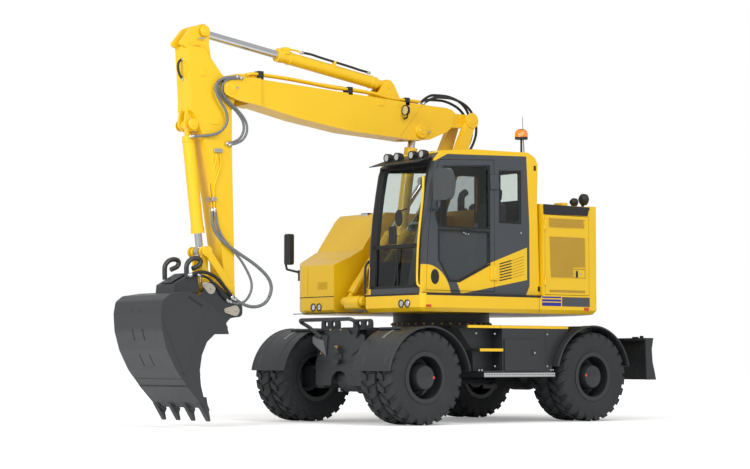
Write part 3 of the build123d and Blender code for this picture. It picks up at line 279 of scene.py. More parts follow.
# Wheels and hubs: pressed steel rims with a planetary hub, sprayed with
# two-pack enamel. It is satin, with a faint orange-peel and slow changes of tone.
def paint(tree, colour, roughness, coat=0.0, peel=0.0006):
    """Enamel shader on a colour socket or value, with tonal drift and a fine orange-peel bump."""
    place = coordinates(tree)
    drift = add(tree, "TexNoise", {"Vector": place, "Scale": 1.7, "Detail": 3.0})
    amount = add(tree, "MapRange", {"Value": drift.outputs["Fac"], "To Min": 0.94, "To Max": 1.05})
    scaled = add(tree, "VectorMath", {0: colour, "Scale": amount}, operation="SCALE")
    rough = add(tree, "TexNoise", {"Vector": place, "Scale": 9.0, "Detail": 4.0})
    rough = add(tree, "MapRange", {"Value": rough.outputs["Fac"], "To Min": roughness - 0.06,
                                   "To Max": roughness + 0.08})
    skin = add(tree, "TexNoise", {"Vector": place, "Scale": 160.0, "Detail": 1.0})
    bump = add(tree, "Bump", {"Height": skin.outputs["Fac"], "Distance": peel, "Strength": 0.25})
    shader = add(tree, "BsdfPrincipled", {"Base Color": scaled, "Roughness": rough, "Normal": bump,
                                          "Coat Weight": coat, "Coat Roughness": 0.12})
    add(tree, "OutputMaterial", {"Surface": shader})


def enamel(name, code, roughness=0.34, coat=0.25):
    """Sprayed enamel of one colour, given as an sRGB hex code."""
    material, tree = blank(name)
    paint(tree, linear(code)[:3], roughness, coat)
    return material


def dress(material, *names):
    """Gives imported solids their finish."""
    for name in names:
        slots = nodes[name].data.materials
        slots.clear()
        slots.append(material)


def turned(profile, centre, axis="y", sides=32):
    """Rows of (place along the axis, radius) turned about a line through centre, with closed ends."""
    rows = np.asarray(profile, float)
    around = np.linspace(0, 2 * np.pi, sides, endpoint=False)
    along = "xyz".index(axis)
    first, second = [i for i in range(3) if i != along]
    points = np.zeros((len(rows), sides, 3))
    points[..., along] = rows[:, :1]
    points[..., first] = rows[:, 1:] * np.cos(around)
    points[..., second] = rows[:, 1:] * np.sin(around)
    last = (len(rows) - 1) * sides
    faces = ring_faces(len(rows), sides, False, True).tolist()
    faces += [list(range(sides)), [last + i for i in range(sides)]]
    return (points + np.asarray(centre, float)).reshape(-1, 3), faces


def spot_on(centre_x, radius, turn, y):
    """Point of a circle about a wheel's axle: the middle plus the radius times cosine and sine."""
    return centre_x + radius * math.cos(turn), y, axle_height + radius * math.sin(turn)


def knob(centre, radius, height, axis="y", sides=6):
    """Bolt head or boss, `height` proud of its seat along an axis; a negative height goes the other way."""
    return turned([(0, radius), (height * 0.8, radius), (height, radius * 0.86)], centre, axis, sides)


dark_enamel = enamel("chassis_dark_grey_enamel", "2A2D30", 0.42, 0.1)
black_enamel = enamel("black_shadow_enamel", "1B1C1D", 0.5, 0.0)
red_enamel = enamel("red_marking_enamel", "D2402A", 0.4, 0.2)
dress(dark_enamel, "wheel_front_left", "wheel_front_right", "wheel_rear_left", "wheel_rear_right")
stud_count = 12
hub_face, stud_circle, plug_circle, mark_circle = 1.244, 0.171, 0.07, 0.118
for name, (centre_x, side, body) in wheel_places.items():
    face = side * hub_face
    cover = turned([(face - side * 0.004, 0.124), (face + side * 0.004, 0.122),
                    (face + side * 0.007, 0.114), (face + side * 0.007, 0.052),
                    (face + side * 0.0085, 0.049), (face + side * 0.0085, 0.0)], (centre_x, 0, axle_height),
                   "y", 48)
    studs = [knob(spot_on(centre_x, stud_circle, a, side * 1.03), 0.014, side * 0.03)
             for a in np.arange(stud_count) * 2 * math.pi / stud_count]
    build("hub_cover_" + name, [cover] + studs, dark_enamel, body, 0.0015)
    plugs = [knob(spot_on(centre_x, plug_circle, a, face + side * 0.0068), 0.0085, side * 0.002)
             for a in (0.3, 2.5, 4.5)]
    valve = turned([(0, 0.006), (side * 0.05, 0.006), (side * 0.055, 0.004)],
                   (centre_x + 0.03, side * 1.13, axle_height - 0.19), "y", 10)
    build("hub_plugs_" + name, plugs + [valve], black_enamel, body)
    turn = math.pi if side > 0 and centre_x > 0 else 0.15
    mark = knob(spot_on(centre_x, mark_circle, turn, face + side * 0.0045), 0.017, side * 0.003, "y", 12)
    build("hub_mark_" + name, [mark], red_enamel, body)

# Axles and chassis: a welded frame of thick plate between two drive axles,
# bolted to the slewing ring, all in dark grey enamel.
dress(dark_enamel, "chassis_frame", "front_axle", "rear_axle", "front_guard", "tow_jaw", "rear_fenders",
      "knuckle_left", "knuckle_right", "blade", "blade_barrels", "side_box_left", "side_box_right",
      "toolbox_door_left", "toolbox_door_right")


def metal(name, code, roughness, grain):
    """Bare metal with fine marks in its gloss; grain is marks per metre."""
    material, tree = blank(name)
    place = coordinates(tree)
    marks = add(tree, "TexNoise", {"Vector": place, "Scale": grain, "Detail": 3.0})
    rough = add(tree, "MapRange", {"Value": marks.outputs["Fac"], "To Min": roughness - 0.05,
                                   "To Max": roughness + 0.1})
    shader = add(tree, "BsdfPrincipled", {"Base Color": linear(code), "Metallic": 1.0, "Roughness": rough})
    add(tree, "OutputMaterial", {"Surface": shader})
    return material


chrome = metal("hard_chrome_rod", "D4D6D8", 0.14, 40.0)
zinc = metal("zinc_plated_steel", "C6C7C8", 0.34, 60.0)
gold_zinc = metal("yellow_zinc_plate", "CDB079", 0.38, 60.0)
dress(chrome, "lift_rods", "adjust_rod", "arm_rod", "bucket_rod", "blade_rods", "steering_rods")

ring_count = 36
ring_turns = np.arange(ring_count) * 2 * math.pi / ring_count
bolt_points, bolt_faces = turned([(0, 0.013), (0.013, 0.013), (0.018, 0.01)], (0.588, 0, 1.148), "x", 6)
turns = np.stack([np.cos(ring_turns), -np.sin(ring_turns), np.sin(ring_turns), np.cos(ring_turns)],
                 -1).reshape(-1, 2, 2)
ring = np.repeat(bolt_points[None], ring_count, 0)
ring[..., :2] = np.einsum("nij,kj->nki", turns, bolt_points[:, :2])
build("turntable_skirt", [turned([(1.171, 0.57), (1.174, 0.577), (1.2645, 0.577), (1.2645, 0.57)],
                                 (0, 0, 0), "z", 72)], dark_enamel, house)
build("ring_bolts", [(one, bolt_faces) for one in ring], gold_zinc, "chassis")


def prism(rows, low, high, axis="y"):
    """Outline carried straight from low to high along an axis, with flat ends.

    Rows give the two other coordinates, in the order X, Y, Z."""
    flat = np.asarray(rows, float)
    count = len(flat)
    column = "xyz".index(axis)
    points = np.concatenate([np.insert(flat, column, low, axis=1), np.insert(flat, column, high, axis=1)])
    faces = ring_faces(2, count, False, True).tolist()
    return points, faces + [list(range(count)), list(range(count, 2 * count))]


def block(x0, x1, y0, y1, z0, z1):
    """Square block between two corners."""
    return prism([(x0, z0), (x1, z0), (x1, z1), (x0, z1)], y0, y1)


def tube(route, radius, sides=12):
    """Round bar along a route: a ring at each point, square to the mean of the two runs that meet there.

    The radius is one number or one for each point, and the ends are flat."""
    route = np.asarray(route, float)
    way = np.gradient(route, axis=0)
    way /= np.linalg.norm(way, axis=1, keepdims=True)
    steady = np.eye(3)[np.argmin(np.abs(way).max(axis=0))]
    first = np.cross(way, steady)
    first /= np.linalg.norm(first, axis=1, keepdims=True)
    second = np.cross(way, first)
    around = np.linspace(0, 2 * np.pi, sides, endpoint=False)
    size = np.broadcast_to(np.asarray(radius, float), (len(route),))[:, None, None]
    rings = route[:, None] + size * (np.cos(around)[None, :, None] * first[:, None]
                                     + np.sin(around)[None, :, None] * second[:, None])
    last = (len(route) - 1) * sides
    faces = ring_faces(len(route), sides, False, True).tolist()
    return rings.reshape(-1, 3), faces + [list(range(sides)), [last + i for i in range(sides)]]


def flowing(points, steps=8):
    """Smooth route through points: on each span the cubic between them.

    The slope at a point is half the chord between its neighbours."""
    knots = np.asarray(points, float)
    slope = np.gradient(knots, axis=0)
    t = np.linspace(0, 1, steps, endpoint=False)[None, :, None]
    a, b, m, n = knots[:-1, None], knots[1:, None], slope[:-1, None], slope[1:, None]
    spans = ((2 * t ** 3 - 3 * t ** 2 + 1) * a + (t ** 3 - 2 * t ** 2 + t) * m
             + (3 * t ** 2 - 2 * t ** 3) * b + (t ** 3 - t ** 2) * n)
    return np.concatenate([spans.reshape(-1, knots.shape[1]), knots[-1:]])


# Fenders: rolled sheet with a turned outer lip and two raised beads. The front
# pair turns with the knuckles and carries a light grey strap and a round bar.
fender_radius = 0.6


def arched(centre, angles, section):
    """Section of (radius, Y) rows carried round an arc about a centre in the side view, with flat ends."""
    turn = np.radians(np.asarray(angles, float))[:, None]
    rows = np.asarray(section, float)
    points = np.stack(np.broadcast_arrays(centre[0] + rows[:, 0] * np.cos(turn), rows[:, 1] + 0 * turn,
                                          centre[1] + rows[:, 0] * np.sin(turn)), -1)
    last = (len(turn) - 1) * len(rows)
    faces = ring_faces(len(turn), len(rows), False, True).tolist()
    return points.reshape(-1, 3), faces + [list(range(len(rows))), [last + i for i in range(len(rows))]]


strap_grey = enamel("light_grey_strap_enamel", "6E7072", 0.4, 0.1)
strap_radius, rail_turn = 0.606, math.radians(70)
for name, centre, angles, side, body in (
        ("front_left", (1.265, 0.4975), (11, 169.5), 1, "knuckle_left"),
        ("front_right", (1.265, 0.4975), (11, 169.5), -1, "knuckle_right"),
        ("rear_left", (-1.275, 0.5275), (12.5, 167.5), 1, "chassis"),
        ("rear_right", (-1.275, 0.5275), (12.5, 167.5), -1, "chassis")):
    sweep = np.linspace(*angles, 64)
    lip_turn = np.linspace(0, 2 * math.pi, 10, endpoint=False)
    shapes = [arched(centre, sweep, [(fender_radius - 0.004 + 0.011 * math.cos(a),
                                      side * (1.291 + 0.009 * math.sin(a))) for a in lip_turn])]
    for y in (0.8, 1.18):
        bead = [(fender_radius - 0.002, side * (y - 0.011)), (fender_radius + 0.004, side * (y - 0.004)),
                (fender_radius + 0.004, side * (y + 0.004)), (fender_radius - 0.002, side * (y + 0.011))]
        shapes.append(arched(centre, np.linspace(angles[0] + 6, angles[1] - 6, 56), bead))
    for turn in (angles[0], angles[1]):
        a = math.radians(turn)
        edge = [centre[0] + (fender_radius - 0.008) * math.cos(a),
                centre[1] + (fender_radius - 0.008) * math.sin(a)]
        shapes.append(tube([(edge[0], side * y, edge[1]) for y in (0.645, 0.97, 1.292)], 0.009, 10))
    build("fender_beads_" + name, shapes, dark_enamel, body)
    if name.startswith("front"):
        strap = arched(centre, np.linspace(51, 68, 8), [(0.6, side * 0.9), (strap_radius, side * 0.9),
                                                        (strap_radius, side * 0.945), (0.6, side * 0.945)])
        build("fender_strap_" + name, [strap], strap_grey, body, 0.001)
        rail_x = centre[0] + strap_radius * math.cos(rail_turn)
        rail_z = centre[1] + strap_radius * math.sin(rail_turn)
        bar = tube([(rail_x, side * y, rail_z + 0.01) for y in (0.645, 0.66, 0.9, 1.02, 1.035)],
                   [0.008, 0.015, 0.015, 0.015, 0.008], 14)
        build("fender_rail_" + name, [bar], dark_enamel, body)

# Side boxes: pressed steel boxes between the wheels, a toolbox with its door
# and two steps. Tread edges are yellow, and the sill plate is galvanised sheet.
tread_yellow = enamel("yellow_tread_enamel", "F4C21C", 0.4, 0.1)


def plated(code):
    """Bent galvanised sheet: mottled light grey with a satin gloss."""
    material, tree = blank("galvanised_step_sheet")
    place = coordinates(tree)
    spangle = add(tree, "TexVoronoi", {"Vector": place, "Scale": 55.0})
    tone = add(tree, "MapRange", {"Value": spangle.outputs["Distance"], "To Min": 0.9, "To Max": 1.06})
    colour = add(tree, "VectorMath", {0: linear(code)[:3], "Scale": tone}, operation="SCALE")
    shader = add(tree, "BsdfPrincipled", {"Base Color": colour, "Metallic": 0.6, "Roughness": 0.42})
    add(tree, "OutputMaterial", {"Surface": shader})
    return material


galvanised = plated("C4C6C6")
for side, name in ((1, "left"), (-1, "right")):
    y = side * 1.2
    lips = [block(*row, side * 1.18, side * 1.2035, 1.088, 1.1195)
            for row in ((-0.939, 0.135), (0.141, 0.63))]
    lips.append(block(0.095, 0.45, side * 1.18, side * 1.2035, 0.822, 0.8545))
    build("tread_edges_" + name, lips, tread_yellow, "chassis", 0.002)
    ribs = [block(x, x + 0.012, side * 0.905, side * 1.175, 1.1185, 1.1225)
            for x in np.arange(-0.92, 0.61, 0.045)]
    build("tread_ribs_" + name, ribs, dark_enamel, "chassis")
    sill = prism([(side * 1.2005, 0.531), (side * 1.2125, 0.531), (side * 1.2125, 0.577),
                  (side * 1.2005, 0.581)], -0.713, 0.398, "x")
    slots = [block(x, x + 0.018, side * 1.2115, side * 1.2135, 0.553, 0.56)
             for x in np.arange(-0.69, 0.38, 0.04)]
    build("sill_plate_" + name, [sill], galvanised, "chassis", 0.002)
    build("sill_slots_" + name, slots, black_enamel, "chassis")
    screws = [knob((x, y, z), 0.011, side * 0.006, "y", 12)
              for x, z in ((0.509, 1.026), (0.225, 1.022), (0.225, 0.652), (-0.6, 1.022), (-0.6, 0.652),
                           (0.467, 0.607), (0.424, 0.607), (-0.69, 0.607), (-0.655, 0.607))]
    build("box_screws_" + name, screws, zinc, "chassis")
    seams = [block(0.139, 0.143, side * 1.1995, side * 1.2012, 0.606, 0.82)] if side > 0 else []
    seams += [block(-0.575, -0.571, side * 1.1995, side * 1.2012, 0.6, 1.07)]
    build("box_seams_" + name, seams, black_enamel, "chassis")
    door = "toolbox_door_" + name
    latch_x = -0.345
    slot_shape = [block(latch_x - 0.018, latch_x + 0.012, side * 1.2142, side * 1.2155, 0.765, 0.85)]
    build("toolbox_latch_slot_" + name, slot_shape, black_enamel, door, 0.001)
    build("toolbox_latch_" + name, [knob((latch_x - 0.042, side * 1.2142, 0.806), 0.013, side * 0.005, "y",
                                         16)], zinc, door)

# Front guard and tow jaw: an upright plate with an arched cut-out, a round
# guard bar and the tow pin. Plated bolts hold the plate to the frame.
plate_x = 1.5455
seam_z = 0.709
plate_lines = [block(plate_x - 0.001, plate_x + 0.0015, y0, y1, seam_z - 0.003, seam_z + 0.003)
               for y0, y1 in ((-0.43, -0.14), (0.16, 0.33))]
build("guard_seams", plate_lines, black_enamel, "chassis")
guard_bolts = [knob((plate_x, y, z), 0.013, 0.01, "x") for y, z in
               ((-0.156, 1.072), (0.037, 1.069), (-0.34, 0.8), (-0.36, 0.93))]
build("guard_bolts", guard_bolts, gold_zinc, "chassis")
light_gusset = prism([(-0.484, 0.992), (-0.275, 0.946), (-0.226, 0.768), (-0.484, 0.925)], 1.5575, 1.5605,
                     "x")
build("light_gusset", [light_gusset], strap_grey, "chassis", 0.001)
holes = [knob((plate_x, y, z), 0.007, 0.0015, "x", 12)
         for y, z in ((-0.14, 0.55), (-0.14, 0.47), (0.23, 0.55), (0.24, 0.47))]
build("guard_holes", holes, black_enamel, "chassis")
pin_top = 0.857
pin = [turned([(pin_top - 0.02, 0.0), (pin_top - 0.02, 0.014), (pin_top + 0.012, 0.014),
               (pin_top + 0.018, 0.03), (pin_top + 0.026, 0.03), (pin_top + 0.03, 0.024),
               (pin_top + 0.03, 0.0)], (1.579, 0, 0), "z", 20)]
build("tow_pin", pin, gold_zinc, "chassis")


# Dozer blade: curved plate with end plates; each end carries an orange
# marker, and two stops stand on its top edge.
def grained(name, code, texture, height, pattern, depth, strength, finish, **settings):
    """Material of one colour whose bump follows the output `height` of a texture, to `depth` metres.

    Pattern sets the texture's inputs and finish the shader's."""
    material, tree = blank(name)
    grain = add(tree, texture, {"Vector": coordinates(tree), **pattern}, **settings)
    bump = add(tree, "Bump", {"Height": grain.outputs[height], "Distance": depth, "Strength": strength})
    shader = add(tree, "BsdfPrincipled", {"Base Color": linear(code), "Normal": bump, **finish})
    add(tree, "OutputMaterial", {"Surface": shader})
    return material


orange_lens = grained("orange_marker_lens", "E8541C", "TexWave", "Fac", {"Scale": 60.0, "Distortion": 0.0},
                      0.001, 0.4, {"Roughness": 0.25, "Coat Weight": 0.5, "Subsurface Weight": 0.1})
for side, name in ((1, "left"), (-1, "right")):
    marker = [block(-2.285, -2.245, side * 1.2195, side * 1.2245, 0.885, 0.935)]
    build("blade_marker_" + name, marker, orange_lens, "blade", 0.001)
    seams = [block(-2.216, -2.2135, min(side * 0.75, side * 1.21), max(side * 0.75, side * 1.21), z - 0.002,
                   z + 0.002) for z in (0.74, 0.955)]
    seams.append(block(-2.216, -2.2135, side * 1.055 - 0.002, side * 1.055 + 0.002, 0.49, 0.985))
    build("blade_seams_" + name, seams, black_enamel, "blade")
    stops = [block(-2.29, -2.25, side * 1.1, side * 1.13, 0.992, 1.02),
             block(-2.29, -2.24, side * 0.98, side * 1.05, 0.992, 1.008)]
    build("blade_stops_" + name, stops, black_enamel, "blade", 0.004)
    build("blade_bolt_" + name, [knob((-2.36, side * 1.22, 0.53), 0.012, side * 0.006)], zinc, "blade")

# Platform: the folded steel deck edge that carries tank, cab and engine, in
# gloss yellow enamel, with lamps, reflectors and three blue stripes.
yellow = enamel("machine_yellow_enamel", "EABD14")
dress(yellow, "platform", "tank", "hood", "counterweight", "service_door", "lower_boom", "upper_boom",
      "arm", "lift_barrels", "adjust_barrel", "arm_barrel", "bucket_barrel", "rocker", "bucket_link")
deck_side = 1.2495
blue = enamel("blue_stripe_film", "16248C", 0.4, 0.1)
plate_grey = enamel("blank_plate_grey", "45484C", 0.42, 0.1)
reflector_red = grained("red_reflector_lens", "C8381E", "TexVoronoi", "Distance", {"Scale": 190.0}, 0.001,
                        0.5, {"Roughness": 0.2, "Coat Weight": 0.6})
for side, name in ((1, "left"), (-1, "right")):
    y = side * deck_side
    out = side * 1.2512
    stripes = [block(-0.781, -0.473, y, out, z0, z1)
               for z0, z1 in ((1.446, 1.464), (1.406, 1.431), (1.354, 1.394))]
    build("stripes_" + name, stripes, blue, house)
    build("blank_plate_" + name, [block(-1.25, -0.795, y, side * 1.2518, 1.352, 1.462)], plate_grey,
          house, 0.0008)
    build("deck_seams_" + name, [block(-0.43 - 0.0025, -0.43 + 0.0025, y, side * 1.2503, 1.268, 1.464)],
          black_enamel, house)
    lenses = [block(1.218, 1.293, y, side * 1.2535, 1.311, 1.341)] if side > 0 else []
    lenses.append(block(-1.235, -1.155, y, side * 1.2535, 1.306, 1.343))
    build("side_reflectors_" + name, lenses, reflector_red, house, 0.001)

strips = [block(-0.46, 1.285, deck_side, 1.2512, 1.446, 1.4668),
          block(1.3445, 1.3462, 0.215, 1.19, 1.446, 1.4668)]
turn = np.linspace(0, -math.pi / 2, 12)
outer = [(1.3465, -0.362)] + [(1.015 + 0.3315 * math.cos(a), -0.92 + 0.3315 * math.sin(a))
                              for a in turn] + [(-0.47, -1.2515)]
inner = [(x - 0.004 if y > -0.9 else x, y + (0.004 if y < -0.9 else 0.0)) for x, y in outer]
strips.append(prism(outer + inner[::-1], 1.461, 1.471, "z"))
build("platform_joints", strips, black_enamel, house)
lamp_glass = grained("lamp_lens_and_reflector", "D8DBDC", "TexVoronoi", "Distance", {"Scale": 70.0}, 0.003,
                     0.6, {"Metallic": 0.75, "Roughness": 0.16})
plastic = enamel("black_moulded_plastic", "1D1E20", 0.5, 0.0)
head_lamps = [(1.345, y, z) for y, z in ((0.883, 1.354), (0.99, 1.354), (-0.755, 1.346), (-0.642, 1.346))]
rims = [turned([(0, 0.046), (0.01, 0.046), (0.013, 0.041), (0.008, 0.037), (0.002, 0.036), (0.002, 0.0)],
               place, "x", 28) for place in head_lamps]
build("head_lamp_rims", rims, plastic, house)
bowls = [turned([(0.0, 0.035), (0.004, 0.035), (0.008, 0.028), (0.01, 0.014), (0.011, 0.0)], place, "x",
                24) for place in head_lamps]
build("head_lamp_lenses", bowls, lamp_glass, house)

# Tank: a folded tank to the right of the boom, with a small louvre, a panel
# joint, a filler cap and a work lamp. Two hoses run down the bay beside the cab.
slats = [block(1.343, 1.3475, y, y + 0.007, 1.553, 1.64) for y in np.arange(-0.668, -0.475, 0.0215)]
slats += [block(1.344, 1.3462, -0.8695, -0.8645, 1.475, 1.838)]
build("tank_louvre", slats, enamel("dull_yellow_shadow", "B08A10", 0.5, 0.0), house)
build("tank_lamp", [block(0.515, 0.585, -0.815, -0.665, 2.425, 2.5)], plastic, house, 0.006)
build("tank_lamp_lens", [block(0.584, 0.59, -0.805, -0.675, 2.433, 2.492)], lamp_glass, house,
      0.002)
build("tank_strip", [block(1.344, 1.3465, -1.16, 0.2, 1.268, 1.278)], black_enamel, house)
cap = turned([(2.49, 0.055), (2.515, 0.055), (2.522, 0.045), (2.522, 0.02), (2.528, 0.018), (2.528, 0.0)],
             (0.15, -0.95, 0), "z", 28)
build("tank_filler_cap", [cap], plastic, house)
tread = [block(x, x + 0.012, -1.14, -0.5, 2.4895, 2.4935) for x in np.arange(-0.4, 0.4, 0.05)]
build("tank_top_tread", tread, plastic, house)
bay = [tube(flowing([(1.26, 0.198, 1.86), (1.31, 0.198, 1.8), (1.322, 0.198, 1.7),
                     (1.315, 0.198, 1.48)]), 0.014),
       tube(flowing([(1.2, 0.205, 1.8), (1.262, 0.205, 1.765), (1.275, 0.205, 1.65),
                     (1.27, 0.205, 1.48)]), 0.014)]
build("bay_hoses", bay, rubber, house)

# Hood: folded yellow sheet over the engine, with a rubber trim under the roof,
# perforated intake screens in the service door, a latch and rear work lamps.
trim_rows = [(-0.5, 2.544), (-1.258, 2.538), (-1.222, 2.432), (-0.5, 2.424)]
build("hood_trims", [prism(trim_rows, side * deck_side, side * 1.2545) for side in (1, -1)], plastic,
      house, 0.002)


def screen(name, code, pitch):
    """Perforated sheet with a drawn pattern of round holes on a square grid; the holes are filled with
    painted shade.

    Both coordinates run to and fro over `pitch`; in a hole the root of their squares is under 0.62 of it."""
    material, tree = blank(name)
    axes = add(tree, "SeparateXYZ", {0: coordinates(tree)}).outputs
    parts = []
    for axis in ("X", "Z"):
        cell = add(tree, "Math", {0: axes[axis], 1: pitch}, operation="PINGPONG")
        parts.append(add(tree, "Math", {0: cell, 1: 2.0}, operation="POWER"))
    reach = add(tree, "Math", {0: parts[0], 1: parts[1]}, operation="ADD")
    hole = add(tree, "Math", {0: reach, 1: (0.62 * pitch) ** 2}, operation="LESS_THAN")
    # Inside the holes the dark yellow 4A3A10 is painted shade, standing for the shaded bay behind the sheet.
    tone = add(tree, "Mix", {"Factor": hole, 6: linear(code), 7: linear("4A3A10")}, data_type="RGBA")
    bump = add(tree, "Bump", {"Height": hole, "Distance": 0.002, "Strength": 0.6}, invert=True)
    shader = add(tree, "BsdfPrincipled", {"Base Color": tone.outputs[2], "Roughness": 0.5, "Normal": bump})
    add(tree, "OutputMaterial", {"Surface": shader})
    return material


def inset(rows, depth):
    """Outline moved inwards by depth: each corner goes along the bisector of its two edges."""
    flat = np.asarray(rows, float)
    before, after = flat - np.roll(flat, 1, 0), np.roll(flat, -1, 0) - flat
    before /= np.linalg.norm(before, axis=1, keepdims=True)
    after /= np.linalg.norm(after, axis=1, keepdims=True)
    area = np.sum(flat[:, 0] * np.roll(flat[:, 1], -1) - np.roll(flat[:, 0], -1) * flat[:, 1])
    turn = 1.0 if area > 0 else -1.0
    first = np.stack([-before[:, 1], before[:, 0]], -1) * turn
    second = np.stack([-after[:, 1], after[:, 0]], -1) * turn
    both = first + second
    return flat + depth * 2 * both / np.sum(both * both, axis=1, keepdims=True)


def border(rows, width, low, high, axis="y"):
    """Frame of constant width inside an outline, carried from low to high along an axis."""
    outer, inner = np.asarray(rows, float), inset(rows, width)
    column = "xyz".index(axis)
    loops = [np.insert(loop, column, at, axis=1)
             for loop, at in ((outer, low), (outer, high), (inner, high), (inner, low))]
    return np.concatenate(loops), ring_faces(4, len(outer), True, True)


mesh_screen = screen("perforated_intake_screen", "CDA22A", 0.006)
frame_width = 0.008
upper_screen = [(-0.577, 2.392), (-1.161, 2.395), (-1.176, 2.274), (-0.59, 2.266)]
lower_screen = [(-0.588, 2.176), (-1.184, 2.178), (-1.189, 1.808), (-0.986, 1.804), (-0.984, 1.683),
                (-0.605, 1.681)]
build("intake_screens", [prism(upper_screen, 1.2505, 1.2515), prism(lower_screen, 1.2505, 1.2515)],
      mesh_screen, "service_door")
build("intake_frames", [border(upper_screen, frame_width, deck_side, 1.253),
                        border(lower_screen, frame_width, deck_side, 1.253)], yellow, "service_door", 0.001)
build("right_screens", [prism(lower_screen, -1.2515, -1.2505)], mesh_screen, house)
build("right_frames", [border(lower_screen, frame_width, -1.253, -deck_side)], yellow, house, 0.001)
build("slim_screen", [block(-1.177, -0.594, deck_side, 1.251, 1.513, 1.546)], mesh_screen, "service_door")
# The black border round the latch is painted shade at the edge of its recessed box.
build("hood_latch_recess_shade", [border([(-1.18, 1.69), (-0.99, 1.69), (-0.99, 1.797), (-1.18, 1.797)],
                                  0.005, deck_side, 1.251)], black_enamel, "service_door")
build("hood_latch_slot", [block(-1.061, -1.023, deck_side, 1.2512, 1.698, 1.775)], black_enamel,
      "service_door", 0.001)
build("hood_latch_lock", [knob((-1.105, 1.25, 1.738), 0.013, 0.005, "y", 16)], zinc, "service_door")
rear_lamps, rear_bowls = [], []
for side in (1, -1):
    for x, z, r in ((-1.225, 2.615, 0.05), (-1.385, 2.655, 0.07)):
        rear_lamps.append(turned([(x + 0.03, r * 0.55), (x - 0.005, r), (x - 0.045, r),
                                  (x - 0.045, r * 0.86), (x - 0.038, r * 0.84), (x - 0.038, 0.0)],
                                 (0, side, z), "x", 24))
        rear_bowls.append(knob((x - 0.0385, side, z), r * 0.8, -0.003, "x", 24))
        rear_lamps.append(block(x - 0.02, x + 0.01, side - 0.012, side + 0.012, 2.548,
                                z - r * 0.9))
build("rear_lamps", rear_lamps, plastic, house)
build("rear_lamp_lenses", rear_bowls, lamp_glass, house)
build("hood_bump", [block(-1.01, -0.92, 0.98, 1.14, 2.549, 2.588)], yellow, house, 0.012)
exhaust = tube([(-0.8, -0.55, 2.45), (-0.8, -0.55, 2.72), (-0.82, -0.55, 2.78), (-0.88, -0.55, 2.82)],
               0.045, 20)
build("exhaust_pipe", [exhaust], black_enamel, house)
rear_lid = [(-0.72, 1.98), (0.72, 1.98), (0.72, 2.5), (-0.72, 2.5)]
build("rear_lid_seam", [border(rear_lid, 0.006, -1.7915, -1.7895, "x")], black_enamel, house)


# Cab: welded tube frame in two colours, dark grey round the windows and yellow
# at the rear quarter, the sweep under the door and the front lower corner.
def edges(tree, place, rows):
    """1 where every row (a, b, c, d) has a x + b y + c z + d > 0, drawn soft over 2 mm."""
    whole = None
    for a, b, c, d in rows:
        along = add(tree, "VectorMath", {0: place, 1: (a, b, c)}, operation="DOT_PRODUCT")
        part = add(tree, "MapRange", {"Value": along.outputs["Value"], "From Min": -d - 0.001,
                                      "From Max": -d + 0.001})
        if whole is None:
            whole = part
        else:
            whole = add(tree, "Math", {0: whole, 1: part}, operation="MULTIPLY")
    return whole


def most(tree, *masks):
    """Union of masks: their largest value."""
    whole = masks[0]
    for mask in masks[1:]:
        whole = add(tree, "Math", {0: whole, 1: mask}, operation="MAXIMUM")
    return whole


cab_enamel, tree = blank("cab_two_colour_enamel")
place = coordinates(tree)
dark_zone = edges(tree, place, [(1, 0, 0, 0.325), (1, 0, -0.057, 0.4555), (1, 0, 0.53, -0.5142),
                                (-0.038, 0, -1, 3.0795), (-0.48, 0, -1, 3.4923)])
sweep_zone = edges(tree, place, [(-0.46, 0, -1, 1.9658), (-0.34, 0, -1, 1.9306), (-1, 0, 0.469, 0.044),
                                 (0.178, 0, 1, -1.5995), (1, 0, 0, 0.285)])
centred = add(tree, "VectorMath", {0: place, 1: (-1.25, 0, -1.4)}, operation="ADD")
scaled = add(tree, "VectorMath", {0: centred, 1: (1 / 0.37, 0.0, 1 / 0.39)}, operation="MULTIPLY")
far = add(tree, "VectorMath", {0: scaled}, operation="LENGTH")
quarter = add(tree, "MapRange", {"Value": far.outputs["Value"], "From Min": 1.003, "From Max": 0.997})
corner = edges(tree, place, [(1, 0, 0, -1.25), (0, 0, -1, 1.79)])
light = add(tree, "Math", {0: 1.0, 1: dark_zone}, operation="SUBTRACT")
pattern = most(tree, light, sweep_zone, quarter, corner)
skin = most(tree, edges(tree, place, [(0, 1, 0, -1.157)]), edges(tree, place, [(0, -1, 0, 0.283)]),
            edges(tree, place, [(0, 0, 1, -3.06)]), edges(tree, place, [(-1, 0, 0, -0.43)]))
shown = add(tree, "Math", {0: pattern, 1: skin}, operation="MULTIPLY")
colour = add(tree, "Mix", {"Factor": shown, 6: linear("3E4348"), 7: linear("EABD14")}, data_type="RGBA")
paint(tree, colour.outputs[2], 0.36, 0.2)
dress(cab_enamel, "cab_shell", "cab_door")


